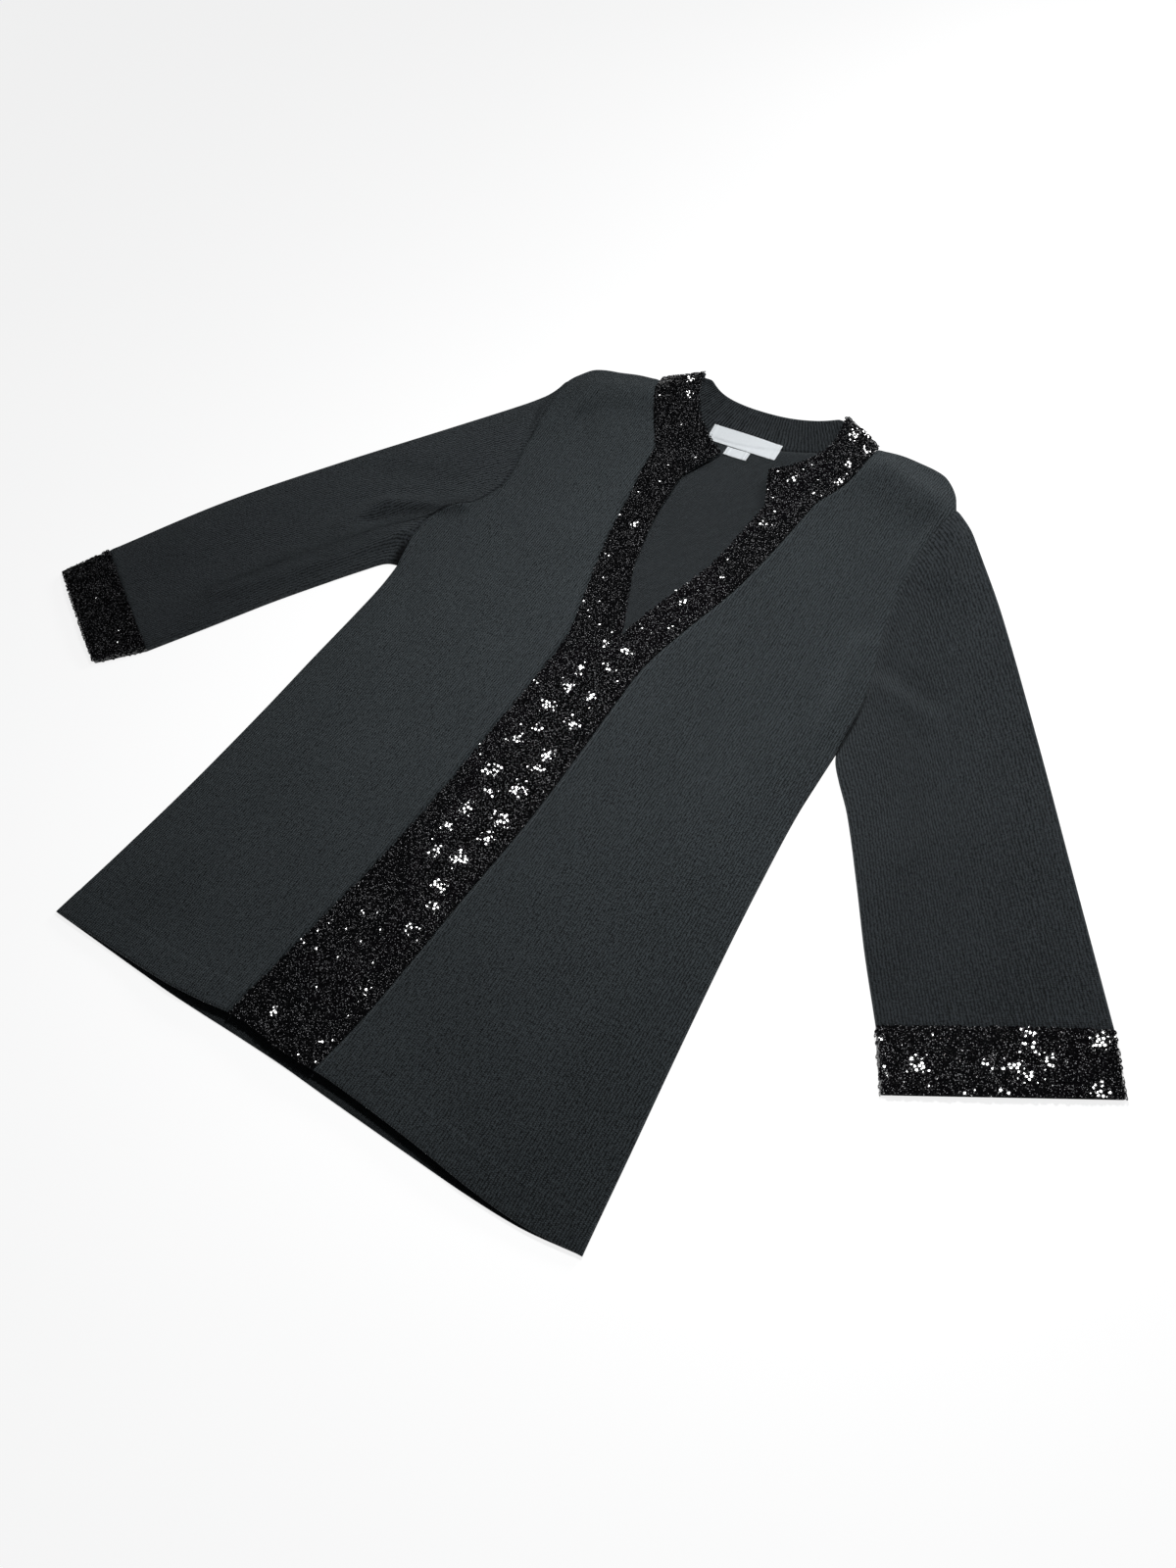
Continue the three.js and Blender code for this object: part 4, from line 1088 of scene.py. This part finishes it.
# Where clusters of sequins happen to face the light: the place along the piece, the
# place across it and how many sequins flash there
FLASHES = {
    "band_right": ((0.86, 0.55, 2), (0.66, 0.83, 1), (0.61, 0.66, 4), (0.575, 0.72, 5),
                   (0.54, 0.62, 4), (0.5, 0.75, 2), (0.475, 0.52, 5), (0.42, 0.58, 5),
                   (0.395, 0.8, 3), (0.36, 0.7, 4), (0.33, 0.62, 3), (0.295, 0.8, 3),
                   (0.12, 0.4, 1), (0.03, 0.6, 2)),
    "band_left": ((0.95, 0.7, 2), (0.83, 0.5, 2), (0.77, 0.62, 2), (0.66, 0.6, 2),
                  (0.625, 0.68, 2), (0.575, 0.6, 3), (0.53, 0.62, 4), (0.475, 0.58, 4),
                  (0.45, 0.6, 3), (0.415, 0.66, 5), (0.37, 0.5, 5), (0.34, 0.42, 4),
                  (0.3, 0.6, 5), (0.26, 0.55, 5), (0.235, 0.36, 3), (0.2, 0.5, 2),
                  (0.11, 0.35, 1), (0.03, 0.3, 1)),
    "collar_right": ((0.86, 0.7, 3), (0.72, 0.75, 2)),
    "collar_left": ((0.95, 0.45, 5), (0.84, 0.6, 4), (0.8, 0.12, 3), (0.62, 0.3, 2),
                    (0.48, 0.1, 2), (0.3, 0.15, 1), (0.2, 0.7, 2)),
    "cuff_left": ((0.15, 0.04, 1), (0.65, 0.06, 1), (0.6, 0.23, 5), (0.56, 0.47, 2),
                  (0.6, 0.54, 6), (0.3, 0.6, 3), (0.48, 0.65, 4), (0.72, 0.59, 3),
                  (0.05, 0.61, 2), (0.2, 0.87, 6), (0.9, 0.82, 4), (0.93, 0.5, 1),
                  (0.97, 0.39, 1)),
}


def sample(grid, row, column):
    """Points of a grid at fractional rows and columns."""
    i = np.clip(row.astype(int), 0, grid.shape[0] - 2)
    j = np.clip(column.astype(int), 0, grid.shape[1] - 2)
    u, v = (row - i)[:, None], (column - j)[:, None]
    low = mix(grid[i, j], grid[i, j + 1], v)
    high = mix(grid[i + 1, j], grid[i + 1, j + 1], v)
    return mix(low, high, u)


def run_along(points):
    """Distances along a line of points."""
    steps = np.linalg.norm(np.diff(points, axis=0), axis=1)
    return np.concatenate([[0], np.cumsum(steps)])


def scatter(grid, pitch, rng):
    """Evenly crowded places on a grid of points, as fractional rows and columns."""
    middle = grid[:, grid.shape[1] // 2]
    length = run_along(middle)
    step = pitch * ROW_STEP
    places = []
    for number, here in enumerate(np.arange(step * FIRST_ROW, length[-1], step)):
        row = np.interp(here, length, np.arange(len(length)))
        line = sample(grid, np.full(grid.shape[1], row), np.arange(grid.shape[1]))
        width = run_along(line)
        count = max(int(round(width[-1] / pitch)), 1)
        at = (np.arange(count) + ROW_START + 0.5 * (number % 2)) / count * width[-1]
        at = np.clip(at + rng.normal(0, STRAY, count), SEQUIN_MARGIN, width[-1] - SEQUIN_MARGIN)
        column = np.interp(at, width, np.arange(len(width)))
        rows = np.clip(row + rng.normal(0, ROW_STRAY, count), 0, grid.shape[0] - LAST_CELL)
        places.append(np.stack([rows, column], axis=1))
    return np.concatenate(places)


def unit(vectors):
    return vectors / np.linalg.norm(vectors, axis=-1, keepdims=True)


def sequin_shape():
    """One cupped disc with a hole: rings of points from the hole to the rim."""
    angle = np.arange(SIDES) * 2 * math.pi / SIDES
    rings = []
    rim = SEQUIN_RADIUS - SEQUIN_RIM
    for radius, rise in ((SEQUIN_HOLE, 0), (rim, 0), (SEQUIN_RADIUS, SEQUIN_CUP)):
        rings.append(np.stack([radius * np.cos(angle), radius * np.sin(angle),
                               np.full(SIDES, rise)], axis=1))
    index = np.arange(3 * SIDES).reshape(3, SIDES)
    return np.concatenate(rings), grid_faces(index, wrap=True)


def make_sequins(name, grid, seed):
    rng = np.random.default_rng(seed)
    place = scatter(grid, SEQUIN_PITCH, rng)
    at = sample(grid, place[:, 0], place[:, 1])
    rows, columns = grid.shape[0] - LAST_CELL, grid.shape[1] - LAST_CELL
    ahead = sample(grid, np.minimum(place[:, 0] + NEARBY, rows), place[:, 1])
    behind = sample(grid, np.maximum(place[:, 0] - NEARBY, 0), place[:, 1])
    right = sample(grid, place[:, 0], np.minimum(place[:, 1] + NEARBY, columns))
    left = sample(grid, place[:, 0], np.maximum(place[:, 1] - NEARBY, 0))
    normal = unit(np.cross(ahead - behind, right - left))
    normal *= np.where(normal[:, 2:] < 0, -1, 1)
    lie = unit(normal + rng.normal(0, SEQUIN_TILT, normal.shape))

    # Most lie so that the light misses the lens. A few glint, and the clusters that
    # flash face halfway between the light and the lens.
    to_light = unit(np.array(KEY_AT) - at)
    to_lens = unit(np.array(CAMERA_AT) - at)
    halfway = unit(to_light + to_lens)
    angle = np.arccos(np.clip((lie * halfway).sum(axis=1), -1, 1))
    angle = np.maximum(angle, rng.uniform(*DULL_ANGLE, len(at)))
    glint = rng.uniform(0, 1, len(at)) < GLINTS
    angle[glint] = rng.uniform(*GLINT_ANGLE, glint.sum())
    aside = unit(lie - halfway * (lie * halfway).sum(axis=1, keepdims=True))
    lie = halfway * np.cos(angle)[:, None] + aside * np.sin(angle)[:, None]
    share = place / (rows, columns)
    piece_size = np.array([run_along(grid[:, grid.shape[1] // 2])[-1],
                           run_along(grid[grid.shape[0] // 2])[-1]])
    for along, across, count in FLASHES.get(name, ()):
        away = np.linalg.norm((share - (along, across)) * piece_size, axis=1)
        away += rng.uniform(0, FLASH_STRAY, len(away))
        chosen = np.argsort(away)[:count]
        lie[chosen] = unit(halfway[chosen] + rng.normal(0, FLASH_TILT, (count, 3)))
        around = np.argsort(away)[count:count * BESIDE_FLASH]
        lie[around] = unit(halfway[around] + rng.normal(0, BESIDE_TILT, (len(around), 3)))

    shape, faces = sequin_shape()
    aside = unit(np.cross(lie, rng.normal(0, 1, lie.shape)))
    along = np.cross(lie, aside)
    size = rng.normal(1, SEQUIN_SIZES, len(at))[:, None, None]
    lift = rng.uniform(*SEQUIN_LIFT, len(at))[:, None]
    centre = at + normal * lift
    points = (centre[:, None] + size * (shape[None, :, :1] * aside[:, None]
              + shape[None, :, 1:2] * along[:, None] + shape[None, :, 2:] * lie[:, None]))
    points[..., 2] = np.maximum(points[..., 2], SEQUIN_CLEAR)
    numbers = faces[None] + (np.arange(len(at)) * len(shape))[:, None, None]
    piece = new_mesh(f"{name}_sequins", points, numbers.reshape(-1, 4), None, sequin_black)
    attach(piece, "root")
    return piece


# Labels

def on_neck(x, y):
    """Underside of a label that lies on the back and, past the neck seam, on the collar."""
    past = y - neckline_at(x)
    step = np.clip(past / LABEL_STEP_RUN + 1, 0, 1)
    step = step * step * (3 - 2 * step)
    return LAYER + step * LABEL_STEP + np.maximum(past, 0) * LABEL_SLOPE


def label_point(x, y, tilt, across, up):
    px = x + across * math.cos(tilt) - up * math.sin(tilt)
    py = y + across * math.sin(tilt) + up * math.cos(tilt)
    return px, py, on_neck(px, py)


def make_label(name, x, y, width, height, tilt):
    """Woven tape with its ends folded under, sewn down by a few stitches at each end."""
    across, up = np.meshgrid(np.linspace(-0.5, 0.5, LABEL_COLUMNS) * width,
                             np.linspace(-0.5, 0.5, LABEL_ROWS) * height)
    px, py, low = label_point(x, y, tilt, across, up)
    from_end = width / 2 - np.abs(across)
    folded = LABEL_FOLD - LABEL_FOLD * np.tanh((from_end - LABEL_HEM) / LABEL_FOLD_RUN)
    turn = across / width * LABEL_WAVE_TURN + LABEL_WAVE_PHASE
    lie = LABEL_WAVE * np.sin(turn) * (0.5 + up / height) ** 2
    sewn = -LABEL_DIP * np.exp(-((from_end - LABEL_SEWN) / LABEL_DIP_RUN)**2)
    top = low + LABEL_WALL + LABEL_LIFT + folded + lie + sewn
    upper = stacked(px, py, top)
    lower = stacked(px, py, low)
    piece = shell(f"{name}_tape", upper, lower, stacked(across, up), label_white,
                  radius=0.3)

    # Stitches: short raised threads in a row along both ends
    points, faces = [], []
    count = max(int(height / STITCH_PITCH) - 1, 2)
    for end in (-1, 1):
        for i in range(count):
            middle = (i - (count - 1) / 2) * STITCH_PITCH
            at_across = end * (width / 2 - LABEL_SEWN)
            for j, share in enumerate(np.linspace(-0.5, 0.5, STITCH_RINGS)):
                cx, cy, cz = label_point(x, y, tilt, at_across, middle + share * STITCH_LENGTH)
                lift = cz + LABEL_WALL + STITCH_LIFT + STITCH_RISE * math.cos(share * math.pi)
                for k in range(THREAD_SIDES):
                    angle = k * 2 * math.pi / THREAD_SIDES
                    points.append((cx + STITCH_RADIUS * math.cos(angle), cy,
                                   lift + STITCH_RADIUS * math.sin(angle)))
                if j:
                    ring = len(points) - 2 * THREAD_SIDES + np.arange(2 * THREAD_SIDES)
                    faces.append(grid_faces(ring.reshape(2, THREAD_SIDES), wrap=True))
    points = np.array(points)
    rows = new_mesh(f"{name}_stitches", points, np.concatenate(faces), points[:, :2], thread)
    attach(rows, "root")
    return piece, rows


# The pieces

CUTS = {
    # piece: (width, length, how much of that rectangle is cloth, what it rests on)
    "back": (530, 776, 0.87, ["table_top"]),
    "front_right": (244, 768, 0.76, ["back"]),
    "front_left": (250, 768, 0.76, ["back"]),
    "band_right": (46, 720, 0.95, ["back"]),
    "band_left": (46, 720, 0.95, ["back"]),
    "sleeve_right": (326, 505, 0.73, ["table_top"]),
    "sleeve_left": (326, 505, 0.73, ["table_top"]),
    "cuff_right": (318, 50, 1.0, ["table_top"]),
    "cuff_left": (318, 50, 1.0, ["table_top"]),
    "collar": (430, 46, 1.0, ["back"]),
    "neck_label": (75, 19, 1.0, ["back", "collar"]),
    "size_tab": (25, 11, 1.0, ["back"]),
}
pieces = {}
sequinned = {}
SEEDS = {"back": 40, "front": 11, "sleeve": 71, "sequins": 500}
HAND_SEED = 7  # from the right hand's to the left's
pieces["back"] = make_back(SEEDS["back"])
for number, hand in enumerate(("right", "left")):
    pieces[f"front_{hand}"] = make_front(hand, SEEDS["front"] + HAND_SEED * number)
    pieces[f"band_{hand}"], sequinned[f"band_{hand}"] = make_band(hand)
    pieces[f"sleeve_{hand}"] = make_sleeve(hand, SEEDS["sleeve"] + HAND_SEED * number)
    pieces[f"cuff_{hand}"], sequinned[f"cuff_{hand}"] = make_cuff(hand)
pieces["collar"], collar_fronts = make_collar()
for hand in HANDS:
    sequinned[f"collar_{hand}"] = collar_fronts[hand]
stitches = {}
for label in LABELS:
    name = label["name"]
    pieces[name], stitches[name] = make_label(**label)
for node, piece in pieces.items():
    fix_normals(piece)
    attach(piece, "root")
    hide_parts(node)

sequins = {name: make_sequins(name, grid, SEEDS["sequins"] + number)
           for number, (name, grid) in enumerate(sequinned.items())}

# For every cloth piece as it was cut, the sequins and stitches that go with it are gathered,
# and nothing more is done with them. The sizes in CUTS are the flat cut's, in millimetres.
for node, (width, length, share, rests_on) in CUTS.items():
    with_pieces = [sequins[name] for name in sequins if name.startswith(node)]
    with_pieces += [stitches[node]] if node in stitches else []


# The table, the light and the camera

FLOOR_HALF = 6.0  # metres, as the lights' sizes are
FLOOR_DROP = 0.0002
FLOOR_DARK = (0.27, 0.27, 0.272)
FLOOR_LIGHT = (0.28, 0.28, 0.28)
FLOOR_GLOW = 0.83
SKY = (0.93, 0.96, 1, 1)
SKY_STRENGTH = 0.1
KEY_SPREAD = 150  # degrees
LIGHTS = {
    # name: place and aim in the garment's frame, size, watts
    "key": (KEY_AT, (180, 400, 0), 0.13, 3.3),
    "behind": ((400, 1500, 650), (0, 450, 0), 0.4, 6.5),
}


def make_floor():
    size = FLOOR_HALF
    mesh = bpy.data.meshes.new("table_top")
    corners = [(-size, -size, 0), (size, -size, 0), (size, size, 0), (-size, size, 0)]
    mesh.from_pydata(corners, [], [(0, 1, 2, 3)])
    floor = bpy.data.objects.new("table_top", mesh)
    bpy.context.scene.collection.objects.link(floor)
    floor.location.z = -FLOOR_DROP
    n = Nodes("pale table")
    place = n.add("ShaderNodeTexCoord").outputs["Object"]
    tone = n.ramp(n.noise(place, 3, 2.0), ((0.3, FLOOR_DARK), (0.7, FLOOR_LIGHT)))
    n.link(tone, n.shader.inputs["Base Color"])
    set_shader(n.shader, Roughness=0.9, Emission_Color=(1, 1, 1, 1),
               Emission_Strength=FLOOR_GLOW)
    mesh.materials.append(n.material)


def add_light(name):
    at, aim, size, power = LIGHTS[name]
    light = bpy.data.lights.new(name, "AREA")
    light.shape = "DISK"
    light.size = size
    light.energy = power
    lamp = bpy.data.objects.new(name, light)
    bpy.context.scene.collection.objects.link(lamp)
    place, target = to_part([at, aim])
    lamp.location = place
    lamp.rotation_euler = (Vector(target) - Vector(place)).to_track_quat("-Z", "Y").to_euler()
    return lamp


def make_light():
    world = bpy.data.worlds.new("studio")
    bpy.context.scene.world = world
    world.use_nodes = True
    sky = world.node_tree.nodes["Background"]
    sky.inputs["Color"].default_value = SKY
    sky.inputs["Strength"].default_value = SKY_STRENGTH
    world.cycles_visibility.glossy = False
    bpy.context.scene.view_settings.view_transform = "Standard"
    add_light("key").data.spread = math.radians(KEY_SPREAD)
    add_light("behind").visible_glossy = False


def make_camera():
    data = bpy.data.cameras.new("camera")
    data.lens = LENS
    data.sensor_width = 36
    data.clip_start = 0.05
    camera = bpy.data.objects.new("camera", data)
    bpy.context.scene.collection.objects.link(camera)
    right, view = Vector(CAMERA_RIGHT), Vector(CAMERA_VIEW)
    up = right.cross(view)
    turn = Matrix((right, up, -view)).transposed()
    camera.matrix_world = Matrix.Translation(to_part([CAMERA_AT])[0]) @ turn.to_4x4()
    bpy.context.scene.camera = camera


make_floor()
make_light()
make_camera()
